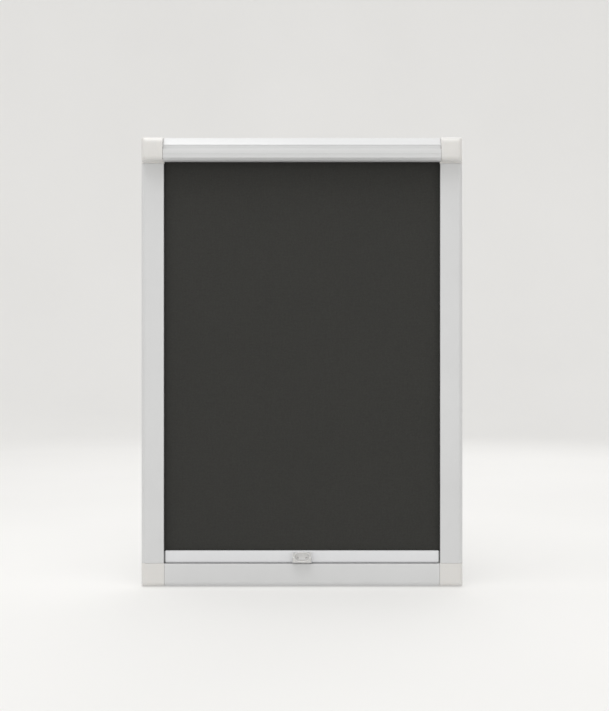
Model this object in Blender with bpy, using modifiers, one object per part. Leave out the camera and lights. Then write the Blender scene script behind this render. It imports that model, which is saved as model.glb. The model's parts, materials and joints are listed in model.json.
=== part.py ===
"""A spring roller blind in a clip-in window frame, modelled at rest with its fabric fully lowered.

Metres, +Z up. X runs along the roller and +X is the right-hand side seen from the room. The window
sash is the plane y = 0 and the room is at -Y, so a depth d in front of the sash is y = -d. z = 0 is
the frame's lower edge.
"""

from math import asin, cos, pi, radians, sin, sqrt

import bmesh
import bpy
from mathutils import Matrix, Vector

# Overall size
FRAME_WIDTH = 0.528
FRAME_HEIGHT = 0.733
GAP = 0.0003  # left between pieces that touch

# Frame extrusion, shared by the side channels and the bottom rail
PROFILE_WIDTH = 0.038
PROFILE_DEPTH = 0.020
WALL = 0.0013
ROUND_WIDTH = 0.009  # width of the rounded outer side, seen from the front
ROUND_START = 0.0055  # depth at which the rounding starts
LIP_EASE = 0.0006  # small chamfer on the front lip
WEB_FROM_EDGE = 0.014  # outer edge to the web between chamber and slot
RECESS_DEPTH = 0.0052  # open recess behind the extrusion
OUTER_FOOT = 0.006
INNER_FOOT = 0.005
SLOT_MOUTH = 0.008  # slot for the fabric's edge, front to back
SLOT_FRONT_WALL = 0.0014

# Bottom corners, and the spigots that corners and end caps push into the extrusions
CORNER_MARGIN = 0.001  # a corner is this much wider than the extrusion
CORNER_SHELL = 0.0045
SPIGOT_LENGTH = 0.022
SPIGOT_PLAY = 0.0005

# Cassette
CASSETTE_DEPTH = 0.042
CASSETTE_HEIGHT = 0.0386
ROLL_TO_CHAMFER = 0.0015  # clearance from the full roll to the chamfer's inner face
NOSE_REACH = 0.004  # how far the cover stands in front of the chamfer
COVER_LEAN = 0.001  # the cover's lower facet leans back this far
COVER_EDGE_RADIUS = 0.0025
BACK_RECESS = 0.003  # back wall set forward, for the screw heads
CHAMBER_WIDTH = 0.0054  # chamber that takes the end cap's lug
CHAMBER_HEIGHT = 0.0064
FABRIC_OUTLET = 0.0205  # depth of the underside's rear edge
OUTLET_LIP = 0.0036
GROOVE_HEIGHTS = (0.0170, 0.0090)  # above the underside
GROOVE = 0.0004
SNAP_LIP = 0.001
SNAP_LIP_HEIGHT = 0.0045

# End caps
CAP_PROUD = 0.001  # in front of the cassette
CAP_DROP = 0.0019  # the cap ends this far below the cassette
CAP_WALL = 0.002
CAP_BASE = 0.0035  # height of the base that matches the side channel
CAP_INSET = 0.001  # the cap's body stands back this far from its base
CAP_ROUND_WIDTH = 0.013
CAP_NOSE_RADIUS = 0.010
CAP_CHIN_RADIUS = 0.003
CAP_TOP_FALL = 0.002
CAP_TOP_FLAT = 0.022
LUG_LENGTH = 0.020
SUPPORT_SETBACK = 0.004  # the lug that carries the cover, behind the cover's front
SUPPORT_DEPTH = 0.004
SUPPORT_HEIGHT = 0.005
FABRIC_SIDE_ROOM = 0.003
BOSS_RADIUS = 0.0065

# Fabric and roller
FABRIC_THICKNESS = 0.00035
FABRIC_IN_SLOT = 0.015
FABRIC_END_BELOW_TOP = 0.0016  # how far the fabric reaches into the hem bar
TUBE_DIAMETER = 0.019
TUBE_WALL = 0.0008
ROLL_THICKNESS = 0.0005  # the turns of fabric left on the tube
TUBE_PAST_FABRIC = 0.001
FULL_ROLL_CLEARANCE = 0.004
TOP_STOP = 0.0056  # gap from hem bar to cassette when fully raised

# Spring unit in the left half of the tube, and the idle end on the right
PLUG_LENGTH = 0.020
FLANGE = 0.002
BEARING_SPACE = 0.0022
SHAFT_RADIUS = 0.003
SHAFT_SQUARE = 0.0042
SOCKET_PLAY = 0.0003
COLLAR_FROM_PLUG = 0.008
COLLAR_LENGTH = 0.006
COLLAR_RADIUS = 0.0075
SPRING_LENGTH = 0.150
SPRING_RADIUS = 0.0055
WIRE_RADIUS = 0.0005
SPRING_TURNS = 18
ANCHOR_LENGTH = 0.0115
CLIP_THICKNESS = 0.0008
CLIP_RADIUS = 0.0048
CLIP_OPENING = 35  # degrees, to each side
CLIP_GROOVE_DEPTH = 0.00075
SHAFT_PAST_CLIP = 0.004
PIN_RADIUS = 0.0025
BUSH_RADIUS = 0.004

# Hem bar
HEMBAR_HEIGHT = 0.0205
HEMBAR_DEPTH = 0.012
HEMBAR_WALL = 0.0012
HEMBAR_END_GAP = 0.0025  # hem bar's end to the side channel
HEMBAR_FRONT_RADIUS = 0.0055
HEMBAR_EDGE_RADIUS = 0.0015
SPLINE_SLIT = 0.002
SPLINE_POCKET = 0.0042
SPLINE_HEIGHT = 0.0028
SPLINE_WIDTH = 0.0064

# Hem bar guides and their brakes
TONGUE_PLAY = 0.0006
TONGUE_REACH = 0.020  # into the side channel
GUIDE_SPIGOT = 0.0185
GUIDE_SPIGOT_RISE = 0.0016  # keeps it clear of the hem bar's rounded lower edge
BRAKE_POCKET_DEPTH = 0.0055
BRAKE_POCKET_HEIGHT = 0.010
SHOE_THICKNESS = 0.004
LEAF_THICKNESS = 0.0003

# Pull tab
TAB_WIDTH = 0.031
TAB_HEIGHT = 0.0175
TAB_DEPTH = 0.013
TAB_ABOVE_HEM = 0.0007  # above the hem bar's underside
TAB_CORNER = 0.005
TAB_LOWER_RADIUS = 0.004
TAB_RIM_DROP = 0.0067  # the side walls slope down this far to the front rim
TAB_RIM_EASE = 0.0015
TAB_TOP_FLAT = 0.0025
SCOOP_RADII = (0.0133, 0.0080, 0.0125)
SCOOP_SETBACK = 0.0028  # from the tab's front to the scoop's middle
PEG_RADIUS = 0.0018
PEG_SPACING = 0.016

# Screws and window brackets
SCREW_RADIUS = 0.0012
SCREW_HEAD_RADIUS = 0.0026
SCREW_HEAD_HEIGHT = 0.0016
SCREW_HEAD_FLAT = 0.0016  # radius of the flat on top of the domed head
SCREW_HEAD_RIM = 0.0007
DRIVE_WIDTH = 0.0009  # cross recess in the head
DRIVE_LENGTH = 0.0032
DRIVE_DEPTH = 0.0008
SCREW_LENGTH = 0.009
SHORT_SCREW_LENGTH = 0.0058  # for the lug in the cassette
SCREW_FROM_SEAM = 0.012
SCREW_FROM_WEB = 0.005
BRACKET_LENGTH = 0.030
BRACKET_THICKNESS = 0.001
BRACKET_FROM_SEAM = 0.070
BRACKET_BEND = 0.0006
BRACKET_BLADE = 0.009
BLADE_FROM_BEND = 0.0012
BLADE_INSET = 0.003  # the blade is this much shorter at each end

# Places that follow from the sizes above
edge_x = FRAME_WIDTH / 2
corner_size = PROFILE_WIDTH + CORNER_MARGIN
seam_x = edge_x - corner_size
opening_x = edge_x - PROFILE_WIDTH
slot_back = RECESS_DEPTH + WALL
slot_front = slot_back + SLOT_MOUTH
slot_end_x = edge_x - WEB_FROM_EDGE - WALL
fabric_depth = (slot_back + slot_front) / 2
cassette_bottom = FRAME_HEIGHT - CASSETTE_HEIGHT
cap_bottom = cassette_bottom - CAP_DROP
cap_depth = CASSETTE_DEPTH + CAP_PROUD
chamfer_end = CASSETTE_DEPTH - NOSE_REACH
mitre_gap = GAP / sqrt(2)  # along each axis, on both sides of the seam between housing and cover
mitre_step = WALL / sqrt(2)  # the wall's thickness along each axis, at that seam

hembar_bottom = PROFILE_WIDTH + GAP
hembar_top = hembar_bottom + HEMBAR_HEIGHT
hembar_front = fabric_depth + HEMBAR_DEPTH / 2
hembar_end_x = opening_x - HEMBAR_END_GAP
pocket_floor = hembar_top - HEMBAR_WALL - SPLINE_POCKET
travel = cassette_bottom - TOP_STOP - hembar_top

tube_radius = TUBE_DIAMETER / 2
tube_bore = tube_radius - TUBE_WALL
roll_radius = tube_radius + GAP + ROLL_THICKNESS
full_roll_radius = sqrt(roll_radius**2 + FABRIC_THICKNESS * travel / pi)
roller_depth = fabric_depth + FABRIC_THICKNESS / 2 + GAP + roll_radius
roller_z = cassette_bottom + WALL + FULL_ROLL_CLEARANCE + full_roll_radius
chamfer_line = roller_depth + roller_z + sqrt(2) * (full_roll_radius + ROLL_TO_CHAMFER + WALL)
chamfer_top = chamfer_line - FRAME_HEIGHT  # the chamfer's outer face has depth + z = chamfer_line
chamfer_end_z = chamfer_line - chamfer_end
fabric_end_x = opening_x + FABRIC_IN_SLOT
tube_end_x = fabric_end_x + TUBE_PAST_FABRIC
plug_end_x = tube_end_x - PLUG_LENGTH
boss_x = tube_end_x + GAP + FLANGE + BEARING_SPACE

boss_rise = (roller_depth + BOSS_RADIUS - ROUND_START) / (cap_depth - CAP_WALL - ROUND_START)
cap_round = CAP_ROUND_WIDTH - CAP_INSET - CAP_WALL  # the cap's curved side, measured inside its wall
cap_wall_x = edge_x - CAP_ROUND_WIDTH + cap_round * sqrt(1 - boss_rise**2)  # beside the boss
screw_edge_distance = WEB_FROM_EDGE - SCREW_FROM_WEB
cassette_screw_z = FRAME_HEIGHT - WALL - CHAMBER_HEIGHT / 2

# Rotations that turn a flat outline, drawn in local X and Y, into place
ACROSS = (pi / 2, 0, -pi / 2)  # outline (d, z), solid along X
RIGHT_UPRIGHT = (0, 0, pi)  # outline (u in from the right edge, d), solid along Z
RAIL = (pi, -pi / 2, 0)  # outline (u up from the bottom edge, d), solid along X
FROM_FRONT = (pi / 2, 0, 0)  # outline (x, z), solid along Y
TURNED_ALONG_X = (0, pi / 2, 0)  # a turned piece whose local Z becomes X

for old in list(bpy.data.objects):
    bpy.data.objects.remove(old)

blind = bpy.data.collections.new("roller_blind")
cutters = bpy.data.collections.new("cutters")
for group in (blind, cutters):
    bpy.context.scene.collection.children.link(group)


# Materials


def material(name, colour, roughness, metallic=0.0):
    made = bpy.data.materials.new(name)
    made.use_nodes = True
    shader = made.node_tree.nodes["Principled BSDF"]
    shader.inputs["Base Color"].default_value = (*colour, 1)
    shader.inputs["Roughness"].default_value = roughness
    shader.inputs["Metallic"].default_value = metallic
    return made


coated = material("white_coated_aluminium", (0.66, 0.67, 0.68), 0.38)
moulded = material("warm_white_plastic", (0.69, 0.68, 0.66), 0.42)
cloth = material("charcoal_blackout_cloth", (0.035, 0.035, 0.033), 0.85)
bare = material("bare_aluminium", (0.72, 0.73, 0.75), 0.32, 1.0)
steel = material("zinc_plated_steel", (0.62, 0.63, 0.65), 0.30, 1.0)
spring_steel = material("spring_steel", (0.42, 0.42, 0.44), 0.35, 1.0)
nylon = material("black_nylon", (0.045, 0.045, 0.048), 0.50)
bearing = material("natural_acetal", (0.80, 0.79, 0.74), 0.40)


# Shapes


def add(name, mesh, finish=None, group=blind):
    made = bpy.data.objects.new(name, mesh)
    if finish:
        mesh.materials.clear()
        mesh.materials.append(finish)
    if group is cutters:
        made.hide_render = True
        made.display_type = "WIRE"
    group.objects.link(made)
    return made


def welded_mesh(source, name):
    """The mesh that an object evaluates to, in world space, with its loose seams joined."""
    bpy.context.view_layer.update()
    graph = bpy.context.evaluated_depsgraph_get()
    mesh = bpy.data.meshes.new_from_object(source.evaluated_get(graph))
    mesh.name = name
    shape = bmesh.new()
    shape.from_mesh(mesh)
    bmesh.ops.remove_doubles(shape, verts=shape.verts, dist=1e-6)
    bmesh.ops.transform(shape, matrix=source.matrix_world, verts=shape.verts)
    shape.to_mesh(mesh)
    shape.free()
    return mesh


def prism(name, outlines, low, high, turn, finish=None, group=blind, offset=(0, 0, 0)):
    """A solid of constant section between two places on its long axis. Later outlines are holes."""
    curve = bpy.data.curves.new(name, "CURVE")
    curve.dimensions = "2D"
    curve.fill_mode = "BOTH"
    curve.extrude = (high - low) / 2
    for outline in outlines:
        spline = curve.splines.new("POLY")
        spline.points.add(len(outline) - 1)
        spline.use_cyclic_u = True
        for point, (across, up) in zip(spline.points, outline):
            point.co = (across, up, 0, 1)
    drawn = add(name, curve)
    drawn.rotation_euler = turn
    long_axis = drawn.rotation_euler.to_matrix() @ Vector((0, 0, 1))
    middle = (high + low) / 2
    drawn.location = Vector(offset) + Vector([abs(part) * middle for part in long_axis])
    mesh = welded_mesh(drawn, name)
    bpy.data.objects.remove(drawn)
    return add(name, mesh, finish, group)


def block(name, low, high, finish=None, group=blind):
    """A box from its lowest corner to its highest."""
    low, high = Vector(low), Vector(high)
    mesh = bpy.data.meshes.new(name)
    shape = bmesh.new()
    size = high - low
    place = Matrix.Translation((low + high) / 2) @ Matrix.Diagonal((*size, 1))
    bmesh.ops.create_cube(shape, size=1, matrix=place)
    shape.to_mesh(mesh)
    shape.free()
    return add(name, mesh, finish, group)


def rod(name, start, end, radius, sides, finish=None, group=blind):
    """A cylinder between two points."""
    start, end = Vector(start), Vector(end)
    mesh = bpy.data.meshes.new(name)
    shape = bmesh.new()
    along = (end - start).to_track_quat("Z", "Y").to_matrix().to_4x4()
    bmesh.ops.create_cone(
        shape,
        cap_ends=True,
        segments=sides,
        radius1=radius,
        radius2=radius,
        depth=(end - start).length,
        matrix=Matrix.Translation((start + end) / 2) @ along,
    )
    shape.to_mesh(mesh)
    shape.free()
    return add(name, mesh, finish, group)


def turned(name, profile, closed, location, turn, sides, finish):
    """A turned piece. The profile is (radius, place along the axis) and runs down its outer side."""
    mesh = bpy.data.meshes.new(name)
    count = len(profile)
    edges = [(i, i + 1) for i in range(count - 1)]
    if closed:
        edges.append((count - 1, 0))
    mesh.from_pydata([(radius, 0, along) for radius, along in profile], edges, [])
    made = add(name, mesh, finish)
    made.location = location
    made.rotation_euler = turn
    screw = made.modifiers.new("turn", "SCREW")
    screw.steps = screw.render_steps = sides
    screw.use_merge_vertices = True
    screw.merge_threshold = 1e-6
    screw.use_smooth_shade = True
    return made


def ring(name, outer, inner, low, high, sides, finish):
    """A turned sleeve round the roller's axis, from one x to another."""
    profile = [(outer, high), (outer, low), (inner, low), (inner, high)]
    return turned(name, profile, True, (0, -roller_depth, roller_z), TURNED_ALONG_X, sides, finish)


def combine(target, tool, operation):
    change = target.modifiers.new(f"{operation.lower()} {tool.name}", "BOOLEAN")
    change.operation = operation
    change.object = tool
    change.solver = "EXACT"


def cut(target, *tools):
    for tool in tools:
        combine(target, tool, "DIFFERENCE")


def join(target, *tools):
    for tool in tools:
        combine(target, tool, "UNION")


def mirrored(source, name, finish):
    """The left-hand copy of a finished right-hand piece."""
    made = add(name, welded_mesh(source, name), finish)
    made.scale = (-1, 1, 1)
    return made


def arc(centre, radii, start, end, segments):
    """Points on an elliptic arc, from one angle in degrees to another."""
    angles = [radians(start + (end - start) * i / segments) for i in range(segments + 1)]
    return [(centre[0] + radii[0] * cos(a), centre[1] + radii[1] * sin(a)) for a in angles]


def strip(points, thickness):
    """The outline of a bent strip that follows a line of points."""
    points = [Vector(point) for point in points]
    sides = ([], [])
    for i, point in enumerate(points):
        before = (point - points[max(i - 1, 0)]).normalized()
        after = (points[min(i + 1, len(points) - 1)] - point).normalized()
        along = (before + after).normalized()
        normal = Vector((-along.y, along.x))
        bend = max(before.dot(along), after.dot(along))
        reach = normal * (thickness / 2 / bend)
        sides[0].append(tuple(point + reach))
        sides[1].append(tuple(point - reach))
    return sides[0] + sides[1][::-1]


# Frame extrusion


def rounded_side(inset, lowest):
    """The extrusion's rounded outer side, moved inwards, from a depth up to the front."""
    across = ROUND_WIDTH - inset
    up = PROFILE_DEPTH - inset - ROUND_START
    first = asin(max(0.0, (lowest - ROUND_START) / up))
    return arc((ROUND_WIDTH, ROUND_START), (across, up), 180 - first * 180 / pi, 90, 8)


def frame_outline():
    inner = PROFILE_WIDTH - WALL
    slot_floor = WEB_FROM_EDGE + WALL
    inside_front = PROFILE_DEPTH - SLOT_FRONT_WALL
    return [
        (0, 0),
        *rounded_side(0, 0),
        (PROFILE_WIDTH - LIP_EASE, PROFILE_DEPTH),
        (PROFILE_WIDTH, PROFILE_DEPTH - LIP_EASE),
        (PROFILE_WIDTH, slot_front),
        (inner, slot_front),
        (inner, inside_front),
        (slot_floor, inside_front),
        (slot_floor, slot_back),
        (PROFILE_WIDTH, slot_back),
        (PROFILE_WIDTH, 0),
        (PROFILE_WIDTH - INNER_FOOT, 0),
        (PROFILE_WIDTH - INNER_FOOT, WALL),
        (inner, WALL),
        (inner, RECESS_DEPTH),
        (WALL, RECESS_DEPTH),
        (WALL, WALL),
        (OUTER_FOOT, WALL),
        (OUTER_FOOT, 0),
    ]


def chamber_outline(play):
    """The closed chamber of the extrusion, or the spigot that fits it with some play."""
    web = WEB_FROM_EDGE - play
    floor = slot_back + play
    return [
        *rounded_side(WALL + play, floor),
        (web, PROFILE_DEPTH - WALL - play),
        (web, floor),
    ]


def filled_outline():
    """The extrusion's outer form without its slots, as wide as a corner."""
    return [(0, 0), *rounded_side(0, 0), (corner_size, PROFILE_DEPTH), (corner_size, 0)]


# Each locking screw on the right-hand side: x, z, the depth of the face under its head, and its length
locking = {
    "corner_side_screw": (
        edge_x - screw_edge_distance,
        corner_size + SCREW_FROM_SEAM,
        RECESS_DEPTH,
        SCREW_LENGTH,
    ),
    "corner_rail_screw": (
        seam_x - SCREW_FROM_SEAM,
        screw_edge_distance,
        RECESS_DEPTH,
        SCREW_LENGTH,
    ),
    "cap_side_screw": (
        edge_x - screw_edge_distance,
        cap_bottom - SCREW_FROM_SEAM,
        RECESS_DEPTH,
        SCREW_LENGTH,
    ),
    "cap_cassette_screw": (
        seam_x - SCREW_FROM_SEAM,
        cassette_screw_z,
        BACK_RECESS,
        SHORT_SCREW_LENGTH,
    ),
}


def screw_cutter(name, x, z, low_depth, high_depth, play):
    """A cutter for a screw hole that runs forwards from the back."""
    radius = SCREW_RADIUS + play
    return rod(name, (x, -low_depth, z), (x, -high_depth, z), radius, 12, group=cutters)


def clearance_hole(screw, side=1):
    """The hole through an extrusion's back wall."""
    x, z, seat, _ = locking[screw]
    name = f"{screw}_hole_{side}"
    return screw_cutter(name, side * x, z, seat - WALL, seat + WALL + GAP, 2 * GAP)


def pilot_hole(screw):
    """The blind hole in a spigot or lug."""
    x, z, seat, length = locking[screw]
    return screw_cutter(f"{screw}_pilot", x, z, seat, seat + length + GAP, GAP)


def side_channels():
    outlines = [frame_outline(), chamber_outline(0)]
    right = prism(
        "right_side_channel",
        outlines,
        corner_size + GAP,
        cap_bottom - GAP,
        RIGHT_UPRIGHT,
        coated,
        offset=(edge_x, 0, 0),
    )
    cut(right, clearance_hole("corner_side_screw"), clearance_hole("cap_side_screw"))
    mirrored(right, "left_side_channel", coated)


def bottom_rail():
    end = seam_x - GAP
    rail = prism(
        "bottom_rail", [frame_outline(), chamber_outline(0)], -end, end, RAIL, coated
    )
    cut(rail, clearance_hole("corner_rail_screw"), clearance_hole("corner_rail_screw", -1))


def bottom_corners():
    corner = prism(
        "bottom_right_corner",
        [filled_outline()],
        0,
        corner_size,
        RIGHT_UPRIGHT,
        moulded,
        offset=(edge_x, 0, 0),
    )
    mitre = prism("corner_mitre", [filled_outline()], seam_x, edge_x, RAIL, group=cutters)
    combine(corner, mitre, "INTERSECT")
    pocket = block(
        "corner_pocket",
        (seam_x + CORNER_SHELL, -(PROFILE_DEPTH - CORNER_SHELL), CORNER_SHELL),
        (edge_x - CORNER_SHELL, WALL, corner_size - CORNER_SHELL),
        group=cutters,
    )
    cut(corner, pocket)
    rooted = corner_size - CORNER_SHELL / 2
    up_spigot = prism(
        "corner_side_spigot",
        [chamber_outline(SPIGOT_PLAY)],
        rooted,
        corner_size + SPIGOT_LENGTH,
        RIGHT_UPRIGHT,
        group=cutters,
        offset=(edge_x, 0, 0),
    )
    rail_spigot = prism(
        "corner_rail_spigot",
        [chamber_outline(SPIGOT_PLAY)],
        seam_x - SPIGOT_LENGTH,
        edge_x - rooted,
        RAIL,
        group=cutters,
    )
    join(corner, up_spigot, rail_spigot)
    cut(corner, pilot_hole("corner_side_screw"), pilot_hole("corner_rail_screw"))
    mirrored(corner, "bottom_left_corner", moulded)


# Cassette


def housing_outline():
    """Back, top, chamfer and snap lip, in depth and height."""
    top = FRAME_HEIGHT
    under_top = top - WALL
    wall_front = BACK_RECESS + WALL
    chamber_side = wall_front + CHAMBER_WIDTH + WALL
    chamber_floor = under_top - CHAMBER_HEIGHT - WALL
    inner_line = chamfer_line - WALL * sqrt(2)  # depth plus height along the inner face
    end_depth = chamfer_end - mitre_gap
    end_z = chamfer_end_z + mitre_gap
    lip_front = end_depth - mitre_step - 2 * GAP
    lip_back = lip_front - SNAP_LIP
    lip_bottom = end_z - SNAP_LIP_HEIGHT
    return [
        (0, cassette_bottom),
        (wall_front, cassette_bottom),
        (wall_front, chamber_floor),
        (chamber_side, chamber_floor),
        (chamber_side, under_top),
        (inner_line - under_top, under_top),
        (lip_back, inner_line - lip_back),
        (lip_back, lip_bottom),
        (lip_front, lip_bottom),
        (lip_front, inner_line - lip_front),
        (end_depth - mitre_step, end_z - mitre_step),
        (end_depth, end_z),
        (chamfer_top, top),
        (0, top),
        (0, under_top),
        (BACK_RECESS, under_top),
        (BACK_RECESS, cassette_bottom + WALL),
        (0, cassette_bottom + WALL),
    ]


def housing_chamber():
    left = BACK_RECESS + WALL
    top = FRAME_HEIGHT - WALL
    return [
        (left, top - CHAMBER_HEIGHT),
        (left + CHAMBER_WIDTH, top - CHAMBER_HEIGHT),
        (left + CHAMBER_WIDTH, top),
        (left, top),
    ]


def cover_outline():
    """Grooved front, rounded lower edge and underside, in depth and height."""
    front = CASSETTE_DEPTH
    top_depth = chamfer_end + mitre_gap
    top = chamfer_end_z - mitre_gap
    upper_groove, lower_groove = [cassette_bottom + height for height in GROOVE_HEIGHTS]
    ease = GROOVE / 2
    edge_depth = front - 3 * ease  # where the upper and lower facets end, beside the grooves
    inside = front - WALL - GROOVE
    radius = COVER_EDGE_RADIUS
    edge_centre = (front - COVER_LEAN - radius, cassette_bottom + radius)
    floor = cassette_bottom + WALL
    return [
        (top_depth, top),
        (edge_depth + ease, upper_groove + GROOVE),
        (edge_depth - ease, upper_groove),
        (front - ease, upper_groove - GROOVE),
        (front, (upper_groove + lower_groove) / 2),
        (front - ease, lower_groove + GROOVE),
        (edge_depth - ease, lower_groove),
        (edge_depth + ease, lower_groove - GROOVE),
        *arc(edge_centre, (radius, radius), 0, -90, 4),
        (FABRIC_OUTLET, cassette_bottom),
        (FABRIC_OUTLET, cassette_bottom + OUTLET_LIP),
        (FABRIC_OUTLET + WALL, cassette_bottom + OUTLET_LIP),
        (FABRIC_OUTLET + WALL, floor),
        (edge_centre[0], floor),
        (edge_centre[0] + radius - WALL, edge_centre[1]),
        (inside, lower_groove),
        (inside, upper_groove - GROOVE),
        (top_depth - mitre_step, top - mitre_step),
    ]


def cassette():
    end = seam_x - GAP
    housing = prism(
        "cassette_housing", [housing_outline(), housing_chamber()], -end, end, ACROSS, coated
    )
    cut(housing, clearance_hole("cap_cassette_screw"), clearance_hole("cap_cassette_screw", -1))
    prism("cassette_front_cover", [cover_outline()], -end, end, ACROSS, coated)


# End caps


def cap_side_view(inset):
    """The cap seen from its side, in depth and height, moved inwards."""
    bottom = cassette_bottom + inset
    chin = CAP_CHIN_RADIUS - inset
    nose = CAP_NOSE_RADIUS - inset
    chin_centre = (cap_depth - CAP_CHIN_RADIUS, cassette_bottom + CAP_CHIN_RADIUS)
    nose_centre = (
        cap_depth - CAP_NOSE_RADIUS,
        FRAME_HEIGHT - CAP_TOP_FALL - CAP_NOSE_RADIUS,
    )
    return [
        (inset, bottom),
        *arc(chin_centre, (chin, chin), -90, 0, 3),
        *arc(nose_centre, (nose, nose), 0, 90, 6),
        (CAP_TOP_FLAT, FRAME_HEIGHT - inset),
        (inset, FRAME_HEIGHT - inset),
    ]


def cap_plan(inset):
    """The cap seen from above, cut long at the back: distance in from the outer edge, and depth."""
    side = CAP_INSET + inset
    radii = (CAP_ROUND_WIDTH - side, cap_depth - inset - ROUND_START)
    past_seam = corner_size + WALL
    return [
        (side, -WALL),
        *arc((CAP_ROUND_WIDTH, ROUND_START), radii, 180, 90, 8),
        (past_seam, cap_depth - inset),
        (past_seam, -WALL),
    ]


def cap_body(name, inset, inner_x, group, finish=None):
    """The cap's outer form, or with an inset its cavity, as two crossing outlines."""
    body = prism(name, [cap_side_view(inset)], inner_x, edge_x, ACROSS, finish, group)
    plan = prism(
        f"{name}_plan",
        [cap_plan(inset)],
        cap_bottom,
        FRAME_HEIGHT + WALL,
        RIGHT_UPRIGHT,
        group=cutters,
        offset=(edge_x, 0, 0),
    )
    combine(body, plan, "INTERSECT")
    return body


def cap_mouth():
    """The opening in the cap's inner side that the roller passes, inside the cassette's walls."""
    back = BACK_RECESS + WALL + 2 * GAP
    front = CASSETTE_DEPTH - 2 * WALL
    floor = cassette_bottom + CAP_WALL
    ceiling = FRAME_HEIGHT - 2 * WALL
    lug_side = back + CHAMBER_WIDTH + WALL
    lug_floor = FRAME_HEIGHT - CHAMBER_HEIGHT - 3 * WALL
    slope = chamfer_line - sqrt(2) * WALL - 2 * GAP
    outline = [
        (back, floor),
        (front, floor),
        (front, slope - front),
        (slope - ceiling, ceiling),
        (lug_side, ceiling),
        (lug_side, lug_floor),
        (back, lug_floor),
    ]
    return prism(
        "cap_mouth", [outline], seam_x - WALL, seam_x + 2 * CAP_WALL, ACROSS, group=cutters
    )


def end_caps():
    cap = cap_body("end_cap_form", 0, seam_x, cutters)
    base = prism(
        "cap_base",
        [filled_outline()],
        cap_bottom,
        cap_bottom + CAP_BASE,
        RIGHT_UPRIGHT,
        group=cutters,
        offset=(edge_x, 0, 0),
    )
    join(cap, base)
    cavity = cap_body("cap_cavity", CAP_WALL, seam_x + CAP_WALL, cutters)
    fabric_way = block(
        "cap_fabric_way",
        (seam_x - WALL, -FABRIC_OUTLET + OUTLET_LIP, cap_bottom - WALL),
        (fabric_end_x + FABRIC_SIDE_ROOM, -slot_back, cassette_bottom + CAP_WALL + WALL),
        group=cutters,
    )
    cut(cap, cavity, cap_mouth(), fabric_way)

    lug_back = BACK_RECESS + WALL + GAP
    lug = block(
        "cap_cassette_lug",
        (
            seam_x - LUG_LENGTH,
            -(lug_back + CHAMBER_WIDTH - 2 * GAP),
            FRAME_HEIGHT - WALL - CHAMBER_HEIGHT + GAP,
        ),
        (seam_x + CAP_WALL, -lug_back, FRAME_HEIGHT - WALL - GAP),
        group=cutters,
    )
    support_front = CASSETTE_DEPTH - SUPPORT_SETBACK
    support_floor = cassette_bottom + WALL + GAP
    support = block(
        "cap_cover_support",
        (seam_x - SCREW_FROM_SEAM, -support_front, support_floor),
        (seam_x + CAP_WALL, SUPPORT_DEPTH - support_front, support_floor + SUPPORT_HEIGHT),
        group=cutters,
    )
    spigot = prism(
        "cap_side_spigot",
        [chamber_outline(SPIGOT_PLAY)],
        cap_bottom - SPIGOT_LENGTH,
        cap_bottom + CAP_BASE / 2,
        RIGHT_UPRIGHT,
        group=cutters,
        offset=(edge_x, 0, 0),
    )
    axis = (-roller_depth, roller_z)
    boss = rod("cap_boss", (boss_x, *axis), (edge_x, *axis), BOSS_RADIUS, 24, group=cutters)
    within_wall = prism(
        "cap_boss_limit",
        [cap_plan(CAP_WALL / 2)],
        cap_bottom,
        FRAME_HEIGHT,
        RIGHT_UPRIGHT,
        group=cutters,
        offset=(edge_x, 0, 0),
    )
    combine(boss, within_wall, "INTERSECT")
    join(cap, lug, support, spigot, boss)
    cut(cap, pilot_hole("cap_side_screw"), pilot_hole("cap_cassette_screw"))

    spring_side = cap.copy()
    cutters.objects.link(spring_side)
    half_square = SHAFT_SQUARE / 2 + SOCKET_PLAY
    socket = block(
        "shaft_socket",
        (boss_x - GAP, -roller_depth - half_square, roller_z - half_square),
        (cap_wall_x, -roller_depth + half_square, roller_z + half_square),
        group=cutters,
    )
    cut(spring_side, socket)
    mirrored(spring_side, "left_end_cap", moulded)
    pin_hole = rod(
        "pin_hole", (boss_x - GAP, *axis), (cap_wall_x, *axis), PIN_RADIUS + GAP, 20, group=cutters
    )
    cut(cap, pin_hole)
    add("right_end_cap", welded_mesh(cap, "right_end_cap"), moulded)


# Roller, which turns about X


def roller():
    axis = bpy.data.objects.new("roller_axis", None)
    axis.location = (0, -roller_depth, roller_z)
    blind.objects.link(axis)

    pieces = [
        ring("roller_tube", tube_radius, tube_bore, -tube_end_x, tube_end_x, 32, bare),
        ring(
            "fabric_roll", roll_radius, tube_radius + GAP, -fabric_end_x, fabric_end_x, 32, cloth
        ),
        end_plug("idle_end_plug", 1, BUSH_RADIUS + GAP),
        end_plug("spring_end_plug", -1, SHAFT_RADIUS + GAP),
        ring(
            "idle_bush",
            BUSH_RADIUS,
            PIN_RADIUS + GAP,
            plug_end_x + FLANGE,
            tube_end_x + FLANGE,
            20,
            bearing,
        ),
        ring(
            "spring_anchor",
            tube_bore - GAP,
            SHAFT_RADIUS + GAP,
            anchor_x - ANCHOR_LENGTH / 2,
            anchor_x + ANCHOR_LENGTH / 2,
            28,
            nylon,
        ),
    ]
    for piece in pieces:
        piece.parent = axis
        piece.location = piece.location - axis.location


def end_plug(name, side, bore):
    """A plug pushed into the tube's end, with a flange outside it."""
    body = tube_bore - GAP
    shoulder = tube_end_x + GAP
    end = shoulder + FLANGE
    profile = [
        (tube_radius, end),
        (tube_radius, shoulder),
        (body, shoulder),
        (body, plug_end_x),
        (bore, plug_end_x),
        (bore, end),
    ]
    turn = TURNED_ALONG_X if side > 0 else (0, -pi / 2, 0)
    return turned(name, profile, True, (0, -roller_depth, roller_z), turn, 28, nylon)


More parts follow.
